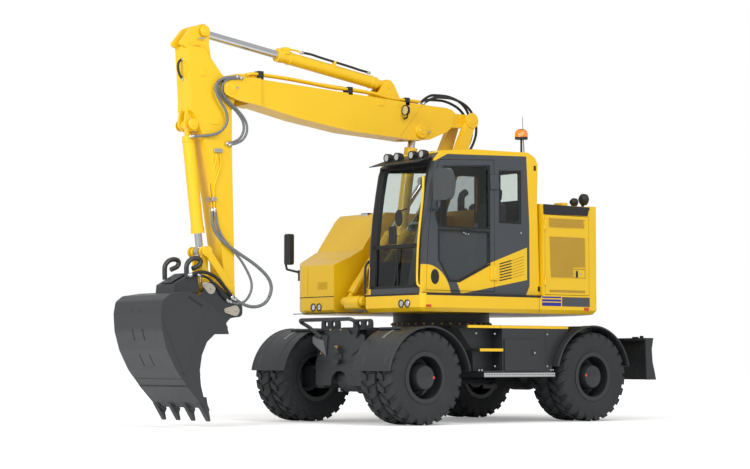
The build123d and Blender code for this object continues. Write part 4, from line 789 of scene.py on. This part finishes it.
def glazing(name, upper, lower, height, grey_share):
    """Safety glass that lets through one colour above the height and another below.

    Its outer side mirrors by Fresnel, and below the height a share `grey_share` is flat grey diffuse."""
    material, tree = blank(name)
    axes = add(tree, "SeparateXYZ", {0: coordinates(tree)}).outputs
    above = add(tree, "Math", {0: axes["Z"], 1: height}, operation="GREATER_THAN")
    tint = add(tree, "Mix", {"Factor": above, 6: linear(lower), 7: linear(upper)}, data_type="RGBA")
    clear = add(tree, "BsdfTransparent", {"Color": tint.outputs[2]})
    flat_grey = add(tree, "BsdfDiffuse", {"Color": linear("55595C")})
    below = add(tree, "Math", {0: 1.0, 1: above}, operation="SUBTRACT")
    cover = add(tree, "Math", {0: below, 1: grey_share}, operation="MULTIPLY")
    body = add(tree, "MixShader", {0: cover, 1: clear, 2: flat_grey})
    shine = add(tree, "BsdfGlossy", {"Color": (0.9, 0.92, 0.93, 1.0), "Roughness": 0.02})
    angle = add(tree, "Fresnel", {"IOR": 1.5})
    side = add(tree, "NewGeometry")
    front = add(tree, "Math", {0: 1.0, 1: side.outputs["Backfacing"]}, operation="SUBTRACT")
    share = add(tree, "Math", {0: angle, 1: front}, operation="MULTIPLY")
    mixed = add(tree, "MixShader", {0: share, 1: body, 2: shine})
    add(tree, "OutputMaterial", {"Surface": mixed})
    return material


dress(glazing("cab_window_glass", "F1F4F2", "C4CACA", 2.0, 0.0), "cab_glass")
dress(glazing("cab_door_window_glass", "CFD3D3", "A4A9AB", 2.2, 0.45), "door_glass")
cab_side = 1.199
seal_lap, seal_width = 0.014, 0.022
seal = enamel("window_rubber_seal", "0F1011", 0.6, 0.0)
upper_pane = [(0.303, 2.222), (1.058, 2.222), (1.098, 2.338), (1.062, 2.62), (0.985, 2.893),
              (0.303, 2.94)]
lower_pane = [(0.303, 2.184), (1.06, 2.184), (1.06, 1.85), (0.905, 1.615), (0.76, 1.612),
              (0.303, 1.815)]
rear_pane = [(-0.18, 2.31), (0.135, 2.31), (0.135, 2.89), (-0.18, 2.905)]
build("door_seals", [border(inset(rows, -seal_lap), seal_width, 1.1985, 1.2045)
                     for rows in (upper_pane, lower_pane)], seal, "cab_door", 0.002)
build("window_seals", [border(inset(rear_pane, -seal_lap), seal_width, 1.1985, 1.2045),
                       border([(-0.344, 1.836), (0.174, 1.836), (0.174, 2.944), (-0.344, 2.944)],
                              seal_width, 0.2355, 0.2415),
                       border([(0.226, 1.836), (1.204, 1.836), (1.175, 2.38), (1.15, 2.7), (1.13, 2.944),
                               (0.226, 2.944)], seal_width, 0.2355, 0.2415)], seal, house, 0.002)
front_line = np.array([(1.3095, 1.535), (1.2945, 1.778), (1.2795, 2.057), (1.2495, 2.338), (1.2045, 2.62),
                       (1.1455, 2.925)])


def strip_on(line, z0, z1, y0, y1, sunk, proud):
    """Strip between two heights on a curved wall, whose (x, z) line is read off by linear interpolation."""
    heights = np.array([z0] + [z for z in line[:, 1] if z0 < z < z1] + [z1])
    reach = np.interp(heights, line[:, 1], line[:, 0])
    back, face = np.stack([reach - sunk, heights], -1), np.stack([reach + proud, heights], -1)
    return prism(np.concatenate([back, face[::-1]]), y0, y1)


strips = [strip_on(front_line, z0, z1, y0, y1, 0.002, 0.005)
          for y0, y1, z0, z1 in ((0.262, 0.366, 1.535, 2.925), (1.108, 1.14, 1.535, 2.925),
                                 (0.3, 1.13, 1.535, 1.56), (0.3, 1.13, 1.983, 2.027),
                                 (0.3, 1.13, 2.895, 2.925))]
build("front_window_rubbers", strips, seal, house)
hinges = [block(0.172, 0.29, cab_side, 1.222, 2.68, 2.842),
          block(0.18, 0.296, cab_side, 1.222, 1.636, 1.802)]
build("door_hinge_boxes", hinges, cab_enamel, house, 0.006)
# Seven louvres lie across the quarter panel; their pitch grows towards the rear, where they thin to lines.
louvres, lines = [], []
for index in range(7):
    front, back, far = 1.633 + index * 0.0318, 1.67 + index * 0.0332, 1.715 + index * 0.0345
    louvres.append(prism([(0.146, front - 0.007), (0.146, front + 0.007), (-0.041, back + 0.007),
                          (-0.041, back - 0.007)], cab_side, 1.2015))
    lines.append(prism([(-0.048, back - 0.0018), (-0.048, back + 0.0018), (-0.231, far + 0.0018),
                        (-0.231, far - 0.0018)], 1.1992, 1.201))
build("cab_louvres", louvres, seal, house, 0.0008)
build("cab_panel_lines", lines, seal, house)


def ellipse(across, up, half_across, half_up):
    """Outline of 32 points: the middle plus half widths times the cosine and sine of the angle."""
    return [(across + half_across * math.cos(a), up + half_up * math.sin(a))
            for a in np.linspace(0, 2 * math.pi, 33)[:-1]]


build("cab_vent", [prism(ellipse(1.12, 1.655, 0.06, 0.085), cab_side, 1.204)], plastic, "cab_door", 0.002)
build("cab_vent_slats", [block(1.07, 1.17, 1.2035, 1.2055, z, z + 0.008)
                         for z in np.arange(1.6, 1.72, 0.024)], seal, "cab_door")
build("door_handle_cup", [prism(ellipse(0.641, 2.203, 0.085, 0.03), cab_side, 1.207)], plastic, "cab_door",
      0.002)
grip = tube(flowing([(0.585, 1.205, 2.203), (0.605, 1.222, 2.205), (0.677, 1.222, 2.205),
                     (0.697, 1.205, 2.203)]), 0.008)
build("door_handle_grip", [grip], plastic, "cab_door")
build("door_lock_screws", [knob((x, 1.2, z), 0.009, 0.004, "y", 12)
                           for x, z in ((0.62, 2.15), (0.66, 2.15), (0.69, 2.163))], zinc, "cab_door")
build("cab_lock", [knob((-0.192, 1.2, 2.194), 0.012, 0.004, "y", 16)], zinc, house)
caps = [block(-0.432, -0.396, 1.17, 1.2035, 2.93, 2.99), block(-0.487, -0.452, 1.17, 1.2035, 1.52, 1.58)]
build("cab_post_caps", caps, plastic, house, 0.004)
build("cab_foot_strip", [block(-0.48, 1.305, 1.19, 1.2465, 1.4672, 1.474)], seal, house, 0.002)
build("roof_hatch", [prism([(0.56, 3.115), (0.98, 3.0785), (0.98, 3.088), (0.56, 3.125)], 0.45, 1.0)],
      plastic, house, 0.003)

# Cab fittings: wiper, yellow grab rail, sun visor, four roof lamps, the glass of
# two mirrors, a small front mirror and an aerial, mostly black moulded plastic.
wiper = [tube(flowing([(1.296, 0.656, 1.42), (1.3, 0.676, 1.469), (1.3, 0.759, 1.921)]), 0.007),
         block(1.292, 1.3, 0.752, 0.764, 1.55, 1.985)]
build("front_wiper", wiper, plastic, house)
build("wiper_motor", [block(1.3, 1.343, 0.637, 0.74, 1.345, 1.4)], plastic, house, 0.006)
rail = flowing([(1.262, 1.16, 2.765), (1.3, 1.215, 2.765), (1.315, 1.232, 2.7), (1.32, 1.226, 2.53),
                (1.322, 1.16, 2.1), (1.322, 1.134, 1.765), (1.322, 1.134, 1.586), (1.316, 1.165, 1.546),
                (1.298, 1.176, 1.53)])
build("grab_rail", [tube(rail, 0.013, 14)], yellow, house)
visor = prism([(1.115, 3.0), (1.33, 2.93), (1.333, 2.938), (1.118, 3.012)], 0.28, 1.16)
build("sun_visor", [visor], plastic, house, 0.002)
roof_lamps = [turned([(1.085, 0.018), (1.1, 0.036), (1.128, 0.05), (1.186, 0.05), (1.192, 0.047),
                      (1.192, 0.042), (1.184, 0.04), (1.184, 0.0)], (0, y, 3.04), "x", 24)
              for y in (0.42, 0.6, 0.86, 1.04)]
build("roof_lamp_rims", roof_lamps, plastic, house)
build("roof_lamp_lenses", [knob((1.1835, y, 3.04), 0.038, 0.003, "x", 24)
                           for y in (0.42, 0.6, 0.86, 1.04)], lamp_glass, house)
mirror_glass = metal("mirror_silver", "D0D4D6", 0.05, 5.0)
build("left_mirror_glass", [prism([(1.315, 2.53), (1.545, 2.525), (1.575, 2.68), (1.53, 2.82),
                                   (1.31, 2.82)], 1.1445, 1.1502, "x")], mirror_glass, "cab_door", 0.002)
build("right_mirror_glass", [block(1.115, 1.1202, -1.56, -1.465, 1.905, 2.24)], mirror_glass,
      house, 0.002)
build("front_mirror", [prism(ellipse(0.849, 2.319, 0.06, 0.095), 1.345, 1.362, "x"),
                       tube([(1.235, 0.849, 2.43), (1.33, 0.849, 2.4), (1.35, 0.849, 2.36)], 0.007)],
      plastic, house, 0.003)
aerial = [tube([(-0.525, 0.9, 2.55), (-0.525, 0.9, 3.18), (-0.5, 0.9, 3.6)], [0.01, 0.006, 0.0025], 10)]
build("aerial", aerial, plastic, house)

# Beacon: amber moulded dome over a black base; the lens has fine upright
# flutes and glows a little.
amber = grained("amber_beacon_lens", "F0801A", "TexWave", "Fac", {"Scale": 55.0}, 0.002, 0.5,
                {"Roughness": 0.18, "Coat Weight": 0.6, "Emission Color": linear("F0801A"),
                 "Emission Strength": 0.15}, bands_direction="X")
dress(plastic, "fittings")
dome = turned([(3.352, 0.07), (3.356, 0.0785), (3.405, 0.077), (3.432, 0.064), (3.449, 0.04),
               (3.4545, 0.012), (3.4545, 0.0)], (-0.482, 0.9, 0), "z", 40)
build("beacon_lens", [dome], amber, house)

# Cab interior: suspension seat in black cloth over foam, grey consoles with
# joysticks and a steering wheel on its column.
fabric, tree = blank("black_seat_cloth")
place = coordinates(tree)
weave = add(tree, "TexWave", {"Vector": place, "Scale": 180.0, "Distortion": 1.0})
cross = add(tree, "TexWave", {"Vector": place, "Scale": 180.0, "Distortion": 1.0}, bands_direction="Z")
cloth = add(tree, "Math", {0: weave.outputs["Fac"], 1: cross.outputs["Fac"]}, operation="ADD")
bump = add(tree, "Bump", {"Height": cloth, "Distance": 0.001, "Strength": 0.4})
shader = add(tree, "BsdfPrincipled", {"Base Color": linear("26272A"), "Roughness": 0.9, "Sheen Weight": 0.3,
                                      "Normal": bump})
add(tree, "OutputMaterial", {"Surface": shader})


def cushion(x0, x1, half, z0, z1, lean, crown, name):
    """Padded block: each coordinate of a sphere is raised to the power 0.4 and keeps its sign.

    Its middle swells by `crown` and its top leans back by `lean`."""
    u = np.linspace(-math.pi / 2, math.pi / 2, 22)[:, None]
    v = np.linspace(0, 2 * math.pi, 45)[:-1][None, :]
    power = 0.4
    ring = np.sign(np.cos(u)) * np.abs(np.cos(u)) ** power
    x = ring * np.sign(np.cos(v)) * np.abs(np.cos(v)) ** power
    y = ring * np.sign(np.sin(v)) * np.abs(np.sin(v)) ** power
    z = np.sign(np.sin(u)) * np.abs(np.sin(u)) ** power + 0 * v
    swell = crown * (1 - y ** 2) * (1 - (z if x1 - x0 < z1 - z0 else x) ** 2)
    px = (x0 + x1) / 2 + x * (x1 - x0) / 2 - lean * (z + 1) / 2 + (swell if x1 - x0 < z1 - z0 else 0)
    pz = (z0 + z1) / 2 + z * (z1 - z0) / 2 + (0 if x1 - x0 < z1 - z0 else swell)
    points = np.stack([px, 0.72 + y * half, pz], -1)
    piece = build(name, [(points.reshape(-1, 3), ring_faces(22, 44, False, True))], fabric,
                  house, 0.0, 80.0)
    return piece


seat_pad = cushion(-0.06, 0.43, 0.24, 1.86, 1.975, 0.0, 0.02, "seat_cushion")
cushion(-0.135, -0.02, 0.235, 1.94, 2.57, 0.1, 0.025, "seat_back")
cushion(-0.225, -0.13, 0.13, 2.575, 2.735, 0.02, 0.012, "seat_headrest")
base = [block(-0.02, 0.38, 0.54, 0.9, 1.512, 1.62), block(0.02, 0.34, 0.58, 0.86, 1.62, 1.84),
        block(-0.05, 0.41, 0.5, 0.94, 1.83, 1.872)]
build("seat_base", base, plastic, house, 0.012)
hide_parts("seat")
console_grey = enamel("console_grey_plastic", "85898C", 0.5, 0.0)
dress(console_grey, "controls")
sticks = []
for y in (0.39, 1.05):
    sticks.append(tube([(0.34, y, 2.07), (0.345, y, 2.14), (0.35, y, 2.19), (0.352, y, 2.26),
                        (0.353, y, 2.275)], [0.035, 0.012, 0.012, 0.024, 0.014], 14))
build("joysticks", sticks, plastic, house)
build("monitor", [block(1.06, 1.09, 0.34, 0.46, 2.05, 2.26)], plastic, house, 0.008)


# Booms and arm: welded box sections in yellow enamel, with turned pin bosses,
# zinc-plated lock plates and steel pipes clamped along the top.
def bosses(rows, low, high):
    """Pin bosses: turned discs at (x, z, radius) rows, from low to high, each with a smaller pin end."""
    shapes = []
    for x, z, radius in rows:
        step = 0.006 if high > low else -0.006
        shapes.append(turned([(low, radius), (high - step, radius), (high, radius * 0.93),
                              (high, radius * 0.55), (high + step, radius * 0.52), (high + step, 0.0)],
                             (x, 0, z), "y", 32))
    return shapes


middle = -0.05
lower_rows = [(0.45, 1.66, 0.085), (-0.38, 3.615, 0.095)]
upper_rows = [(0.397, 3.438, 0.085), (3.134, 3.729, 0.08)]
arm_rows = [(3.136, 1.522, 0.062), (3.089, 1.268, 0.058), (3.469, 4.327, 0.06), (3.613, 3.288, 0.062)]
for name, rows, inner, outer in (("lower_boom", lower_rows, 0.185, 0.2),
                                 ("upper_boom", upper_rows, 0.15, 0.178),
                                 ("arm", arm_rows, 0.128, 0.142)):
    left = bosses(rows, middle + inner, middle + outer)
    build(name + "_bosses", left + bosses(rows, middle - inner, middle - outer), yellow, name)
plates = [block(3.055, 3.115, 0.127, 0.1285, 3.716, 3.736),
          block(0.268, 0.308, 0.127, 0.1285, 3.425, 3.445)]
build("boom_lock_plates", plates, zinc, "upper_boom", 0.002)
arm_plates = [prism([(3.464, 4.231), (3.556, 4.234), (3.556, 4.25), (3.464, 4.247)], 0.08, 0.084),
              block(3.655, 3.667, 0.08, 0.084, 3.326, 3.346)]
build("arm_lock_plates", arm_plates, zinc, "arm", 0.001)
seam_lines = [block(2.7365, 2.7395, 0.0985, 0.1008, 3.556, 3.85),
              prism([(0.377, 3.742), (0.38, 3.745), (0.712, 3.359), (0.709, 3.356)], 0.0985, 0.1008)]
seam_lines += [block(2.7365, 2.7395, -0.2008, -0.1985, 3.556, 3.85)]
build("boom_seams", seam_lines, enamel("yellow_joint_shadow", "B58E10", 0.5, 0.0), "upper_boom")
pads = [block(0.963, 1.059, 0.0995, 0.106, 3.69, 3.765), block(2.79, 2.987, 0.1195, 0.1235, 3.752, 3.764)]
build("boom_pads", pads, yellow, "upper_boom", 0.003)
pads = [block(3.456, 3.532, 0.0795, 0.086, 3.825, 3.917), block(3.29, 3.4, 0.0795, 0.086, 3.304, 3.365)]
build("arm_pads", pads, yellow, "arm", 0.003)
lines = [tube([(x, 0.0795, z) for x, z in ((3.655, 4.14), (3.593, 4.175), (3.526, 4.167), (3.38, 4.01),
                                           (3.245, 3.862))], 0.005, 8),
         tube([(x, 0.0795, z) for x, z in ((3.6, 3.5), (3.52, 3.28), (3.35, 2.7), (3.25, 2.1))], 0.003,
              8)]
build("arm_plate_edges", lines, yellow, "arm")
main_pipe = flowing([(2.9, 0.075, 3.885), (2.86, 0.075, 3.905), (2.724, 0.075, 3.912),
                     (2.259, 0.075, 3.896), (1.713, 0.075, 3.857), (1.457, 0.075, 3.85),
                     (1.103, 0.075, 3.835), (0.863, 0.075, 3.801), (0.398, 0.075, 3.792)])
second_pipe = main_pipe + np.array([0.0, -0.055, 0.0])
thin_pipe = flowing([(2.88, -0.03, 3.895), (2.711, -0.03, 3.925), (2.335, -0.03, 3.925),
                     (1.985, -0.03, 3.905), (1.107, -0.03, 3.87)])
build("boom_pipes", [tube(main_pipe, 0.017, 14), tube(second_pipe, 0.017, 14), tube(thin_pipe, 0.009, 10)],
      yellow, "upper_boom")
clamps = [block(x - 0.035, x + 0.035, -0.005, 0.1, z - 0.075, z + 0.022)
          for x, z in ((2.724, 3.925), (1.457, 3.855), (0.6, 3.8))]
build("pipe_clamps", clamps, plastic, "upper_boom", 0.005)
cover = prism([(3.225, 3.775), (3.245, 3.835), (3.134, 3.864), (3.02, 3.895), (2.74, 3.905),
               (2.742, 3.85), (3.095, 3.835)], -0.16, 0.06)
build("tip_cover", [cover], yellow, "upper_boom", 0.004)
work_lamp = [turned([(0.64, 0.022), (0.668, 0.06), (0.7, 0.062), (0.7, 0.054), (0.693, 0.052),
                     (0.693, 0.0)], (0, 0.165, 3.658), "x", 24),
             tube([(0.655, 0.1, 3.565), (0.655, 0.15, 3.572), (0.655, 0.165, 3.6)], 0.01)]
build("boom_lamp", work_lamp, plastic, "upper_boom")
build("boom_lamp_lens", [knob((0.6925, 0.165, 3.658), 0.05, 0.004, "x", 24)], lamp_glass, "upper_boom")


# Cylinders: yellow barrels with chrome rods. Turned collars of the same
# enamel stand round the barrels.
def along(base, eye, rows, y):
    """Collars round a cylinder, each (from, to, inner radius, outer radius), from the base to the eye."""
    base, eye = np.array([base[0], y, base[1]]), np.array([eye[0], y, eye[1]])
    way = (eye - base) / np.linalg.norm(eye - base)
    up = np.cross(way, (0.0, 1.0, 0.0))
    around = np.linspace(0, 2 * np.pi, 37)[:-1, None]
    spokes = np.cos(around) * np.array([0.0, 1.0, 0.0]) + np.sin(around) * up
    shapes = []
    for start, stop, inner, outer in rows:
        loops = [base + way * s + spokes * radius for s, radius in
                 ((start, inner), (start, outer - 0.003), (start + 0.003, outer), (stop - 0.003, outer),
                  (stop, outer - 0.003), (stop, inner))]
        shapes.append((np.concatenate(loops), ring_faces(6, 36, True, True)))
    return shapes


lift_line, lift_rows = ((1.27, 1.4), (0.108, 2.873)), [(0.24, 0.262, 0.054, 0.06)]
for name, (base, eye), rows, y, body in (
        ("lift_collars_right", lift_line, lift_rows, -0.215, "lift_barrels"),
        ("lift_collars_left", lift_line, lift_rows, 0.115, "lift_barrels"),
        ("arm_cylinder_collar", ((0.84, 3.955), (3.469, 4.327)),
         [(0.2, 0.225, 0.071, 0.078), (1.4, 1.425, 0.071, 0.078)], middle, "arm_barrel"),
        ("adjust_cylinder_collar", ((0.609, 2.053), (0.397, 3.438)), [(0.2, 0.225, 0.071, 0.078)], middle,
         "adjust_barrel"),
        ("bucket_cylinder_collar", ((3.613, 3.288), (3.435, 1.905)), [(0.16, 0.185, 0.067, 0.074)], middle,
         "bucket_barrel")):
    build(name, along(base, eye, rows, y), yellow, body)

# Hoses: black rubber or grey spiral sleeve, drawn as smooth lines that follow
# given points. Those between two bodies are attached to neither, with a ferrule on each body.
hose_rubber = grained("hydraulic_hose_rubber", "1A1B1C", "TexNoise", "Fac", {"Scale": 240.0, "Detail": 2.0},
                      0.001, 0.4, {"Roughness": 0.55})
sleeve, tree = blank("grey_spiral_hose_sleeve")
place = coordinates(tree)
spiral = add(tree, "TexWave", {"Vector": place, "Scale": 42.0, "Distortion": 0.0},
             bands_direction="DIAGONAL")
tone = add(tree, "Mix", {"Factor": spiral.outputs["Fac"], 6: linear("47494B"), 7: linear("85888A")},
           data_type="RGBA")
bump = add(tree, "Bump", {"Height": spiral.outputs["Fac"], "Distance": 0.002, "Strength": 0.5})
shader = add(tree, "BsdfPrincipled", {"Base Color": tone.outputs[2], "Roughness": 0.5, "Normal": bump})
add(tree, "OutputMaterial", {"Surface": shader})


def hose(name, route, radius, material, first, second=None):
    """Tube along the quadratic curve that a route leads, with a metal ferrule at each end.

    With two bodies it runs from the first to the second but is attached to neither; each ferrule goes with
    its own body."""
    curve = bpy.data.curves.new(name + "_line", "CURVE")
    curve.dimensions = "3D"
    curve.resolution_u = 6
    spline = curve.splines.new("NURBS")
    spline.points.add(len(route) - 1)
    flat = np.concatenate([np.asarray(route, float), np.ones((len(route), 1))], axis=1)
    spline.points.foreach_set("co", flat.reshape(-1))
    spline.order_u = 3
    spline.use_endpoint_u = True
    carrier = bpy.data.objects.new(name + "_line", curve)
    bpy.context.collection.objects.link(carrier)
    line = bpy.data.meshes.new_from_object(carrier)
    points = np.zeros(len(line.vertices) * 3)
    line.vertices.foreach_get("co", points)
    bpy.data.objects.remove(carrier)
    bpy.data.meshes.remove(line)
    bpy.data.curves.remove(curve)
    points = points.reshape(-1, 3)
    thing = build(name, [tube(points, radius, 12)], material, None if second else first)
    ways = ((points[0], points[1] - points[0], first),
            (points[-1], points[-2] - points[-1], second or first))
    for index, (end, way, body) in enumerate(ways):
        way = way / np.linalg.norm(way)
        ferrule = tube([end - way * 0.012, end, end + way * 0.03, end + way * 0.036],
                       [radius * 0.9, radius * 1.3, radius * 1.3, radius * 1.05], 12)
        build(name + "_ferrule_%d" % (index + 1), [ferrule], zinc, body)
    if second:
        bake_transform(thing)


def plane(rows, y0, y1=None):
    """(x, z) rows placed in the plane y0, or moving evenly from y0 to y1."""
    ends = np.linspace(y0, y0 if y1 is None else y1, len(rows))
    return [(x, y, z) for (x, z), y in zip(rows, ends)]


tip_one = [(3.06, 3.85), (3.244, 3.823), (3.34, 3.773), (3.372, 3.687), (3.314, 3.579), (3.205, 3.446),
           (3.195, 3.31), (3.325, 3.19), (3.459, 3.174), (3.617, 3.156)]
tip_two = [(3.04, 3.85), (3.227, 3.839), (3.305, 3.762), (3.318, 3.677), (3.226, 3.585), (3.072, 3.484),
           (2.958, 3.364), (2.955, 3.23), (3.053, 3.125), (3.19, 3.1)]
hose("tip_hose_one", plane(tip_one, 0.135, 0.125)[:-2] + [(3.54, 0.085, 3.158), (3.617, 0.03, 3.156)],
     0.015, sleeve, "upper_boom", "arm")
hose("tip_hose_two", plane(tip_two, 0.1, 0.095), 0.015, sleeve, "upper_boom", "arm")
hose("tip_hose_three", plane([(x - 0.035, z - 0.012) for x, z in tip_two], 0.135, 0.1), 0.014, sleeve,
     "upper_boom", "arm")
for index, (shift, y) in enumerate(((0.0, 0.02), (0.035, -0.06), (-0.015, -0.13))):
    bundle = [(0.3, 3.776), (0.16, 3.868 + shift), (-0.02, 3.88 + shift), (-0.198, 3.88 + shift),
              (-0.429, 3.8 + shift), (-0.54, 3.64), (-0.56, 3.472), (-0.46, 3.27), (-0.29, 3.085)]
    hose("knuckle_hose_%d" % (index + 1), plane(bundle, y)[::-1], 0.016, hose_rubber, "lower_boom",
         "upper_boom")
arm_feed = [(2.1, 4.225), (1.98, 4.225), (1.84, 4.196), (1.37, 4.126), (1.25, 4.102), (1.16, 4.092),
            (1.1, 4.08)]
hose("arm_cylinder_hose", plane(arm_feed, 0.0), 0.014, hose_rubber, "arm_barrel")
feed = [tube(flowing([(2.31, 0.0, 4.225), (2.25, 0.0, 4.245), (2.16, 0.0, 4.24), (2.1, 0.0, 4.225)]),
             0.012), block(2.275, 2.355, -0.045, 0.03, 4.185, 4.262),
        block(1.6, 1.635, -0.02, 0.018, 4.1, 4.17)]
build("arm_cylinder_feed", feed, yellow, "arm_barrel", 0.002)
arm_front = [(3.66, 4.01), (3.713, 3.999), (3.742, 3.926), (3.704, 3.803), (3.655, 3.78)]
hose("arm_front_hose", plane(arm_front, middle), 0.014, hose_rubber, "arm")
coupler_a = [(3.33, 0.04, 2.38), (3.348, 0.052, 2.255), (3.325, 0.07, 2.13), (3.225, 0.1, 2.006),
             (3.044, 0.118, 1.9), (2.807, 0.12, 1.778), (2.626, 0.125, 1.637), (2.586, 0.13, 1.507),
             (2.665, 0.138, 1.358), (2.824, 0.145, 1.299), (3.002, 0.15, 1.328), (3.12, 0.15, 1.399)]
coupler_b = [(3.33, 0.08, 2.372), (3.322, 0.098, 2.228), (3.26, 0.098, 2.086), (3.162, 0.105, 1.977),
             (3.005, 0.11, 1.837), (2.866, 0.115, 1.63), (2.855, 0.125, 1.501), (2.943, 0.14, 1.37),
             (3.081, 0.15, 1.327), (3.178, 0.15, 1.365)]
hose("coupler_hose_one", coupler_a, 0.019, sleeve, "arm", "bucket")
hose("coupler_hose_two", coupler_b, 0.014, sleeve, "arm", "bucket")
black_one = [(3.141, 1.397), (3.258, 1.523), (3.355, 1.617), (3.451, 1.662), (3.585, 1.682), (3.72, 1.63)]
black_two = [(3.199, 1.364), (3.296, 1.426), (3.335, 1.505), (3.412, 1.568), (3.489, 1.629), (3.6, 1.64)]
hose("lock_hose_one", plane(black_one, 0.168), 0.019, hose_rubber, "bucket")
hose("lock_hose_two", plane(black_two, 0.163), 0.014, hose_rubber, "bucket")
pipes = [tube(flowing([(3.323, 0.092, 2.977), (3.33, 0.092, 2.88), (3.372, 0.04, 2.64),
                       (3.366, 0.038, 2.56), (3.332, 0.04, 2.39)]), 0.009, 10),
         tube(flowing([(3.273, 0.092, 2.98), (3.262, 0.092, 2.855), (3.345, 0.088, 2.609),
                       (3.332, 0.08, 2.382)]), 0.009, 10)]
build("arm_pipes", pipes, yellow, "arm")
arm_clamps = [block(3.241, 3.351, 0.078, 0.105, 2.997, 3.039),
              block(3.315, 3.372, -0.035, 0.1, 2.459, 2.501)]
build("arm_clamps", arm_clamps, zinc, "arm", 0.004)

# Coupler and bucket: a quick coupler with lock plates, and a welded digging
# bucket of dark grey plate with four teeth.
bucket_enamel = enamel("bucket_dark_grey_enamel", "2C2F32", 0.4, 0.15)
dress(bucket_enamel, "bucket", "bucket_sides", "coupler")
bucket_half = 0.474
cheek = [(4.009, 1.405), (3.926, 1.425), (3.654, 1.325), (3.938, 0.554), (4.225, 1.169)]
build("bucket_raised_plates", [prism(cheek, middle + side * 0.4745, middle + side * 0.479)
                               for side in (1, -1)], bucket_enamel, "bucket", 0.002)
slots = [prism([(3.888, 1.405), (3.71, 1.307), (3.722, 1.281), (3.9, 1.379)], middle + side * 0.4785,
               middle + side * 0.4802) for side in (1, -1)]
build("bucket_slots", slots, black_enamel, "bucket")
back_line = np.array([(3.675, 0.212), (3.906, 0.449), (4.045, 0.618), (4.16, 0.828), (4.223, 1.036),
                      (4.237, 1.225), (4.213, 1.352)])


def on_back(z0, z1, half, middle_y=0.0, proud=0.0025):
    """Thin plate on the bucket's curved back, `half` to either side of middle_y."""
    return strip_on(back_line, z0, z1, middle + (middle_y - half), middle + (middle_y + half), 0.004, proud)


marks = [on_back(z0, z1, 0.007, y) for z0, z1 in ((0.93, 1.05), (0.66, 0.78)) for y in (-0.11, 0.09)]
marks += [on_back(1.245, 1.262, 0.01, y) for y in (-0.1, 0.06)]
marks += [on_back(z, z + 0.006, bucket_half, 0.0, 0.0015) for z in (0.447, 0.518)]
build("bucket_back_marks", marks, black_enamel, "bucket")
build("bucket_heel_plate", [on_back(0.262, 0.44, bucket_half, 0.0, 0.006)], bucket_enamel, "bucket", 0.002)
outer_tooth, inner_tooth, trim = 0.433, 0.147, 0.014
adapters = [prism([(3.76, 0.3), (3.7, 0.215), (3.625, 0.15), (3.606, 0.19), (3.64, 0.27), (3.7, 0.335)],
                  y - 0.048, y + 0.048) for y in (middle - outer_tooth + trim, middle - inner_tooth,
                                                  middle + inner_tooth, middle + outer_tooth - trim)]
build("tooth_adapters", adapters, bucket_enamel, "bucket", 0.006)
pin_steel = enamel("beige_pin_plate", "A9A294", 0.4, 0.1)


def teardrop(start, first, stop, second):
    """Outline of two circles of radii first and second with their two outer tangents.

    The arcs end where the cosine is the difference of the radii over the distance."""
    start, stop = np.array(start), np.array(stop)
    way = stop - start
    base = math.atan2(way[1], way[0])
    off = math.acos((first - second) / np.linalg.norm(way))
    one = np.linspace(base + off, base + 2 * math.pi - off, 20)
    two = np.linspace(base - off, base + off, 14)
    return np.concatenate([start + first * np.stack([np.cos(one), np.sin(one)], -1),
                           stop + second * np.stack([np.cos(two), np.sin(two)], -1)])


pins = [prism(teardrop((3.425, 1.495), 0.058, (3.505, 1.54), 0.03), 0.146, 0.158),
        prism(teardrop((3.105, 1.262), 0.058, (3.215, 1.262), 0.028), 0.146, 0.158),
        knob((3.226, 0.146, 1.075), 0.03, 0.01, "y", 24)]
build("coupler_pin_plates", pins, pin_steel, "bucket", 0.002)
heads = [knob((x, 0.158, z), 0.012, 0.008) for x, z in ((3.505, 1.54), (3.215, 1.262), (3.42, 1.5),
                                                        (3.1, 1.265))]
build("coupler_pin_bolts", heads, zinc, "bucket")
head_block = prism([(3.56, 1.45), (3.575, 1.64), (3.66, 1.66), (3.885, 1.535), (3.895, 1.42),
                    (3.7, 1.45)], -0.225, 0.125)
lid = prism([(3.68, 1.6555), (3.872, 1.5495), (3.877, 1.5585), (3.685, 1.6645)], -0.16, 0.06)
build("coupler_head_block", [head_block, lid], bucket_enamel, "bucket", 0.006)
hooks = []
for y, shift in ((0.078, 0.0), (-0.3, 0.035)):
    route = [(3.689, 1.6), (3.692, 1.68), (3.688, 1.75), (3.65, 1.8), (3.596, 1.824), (3.535, 1.822),
             (3.51, 1.79), (3.53, 1.75), (3.575, 1.728), (3.612, 1.712)]
    hooks.append(tube(flowing([(x + shift, y, z) for x, z in route], 5), 0.027, 14))
build("lifting_hooks", hooks, bucket_enamel, "bucket")
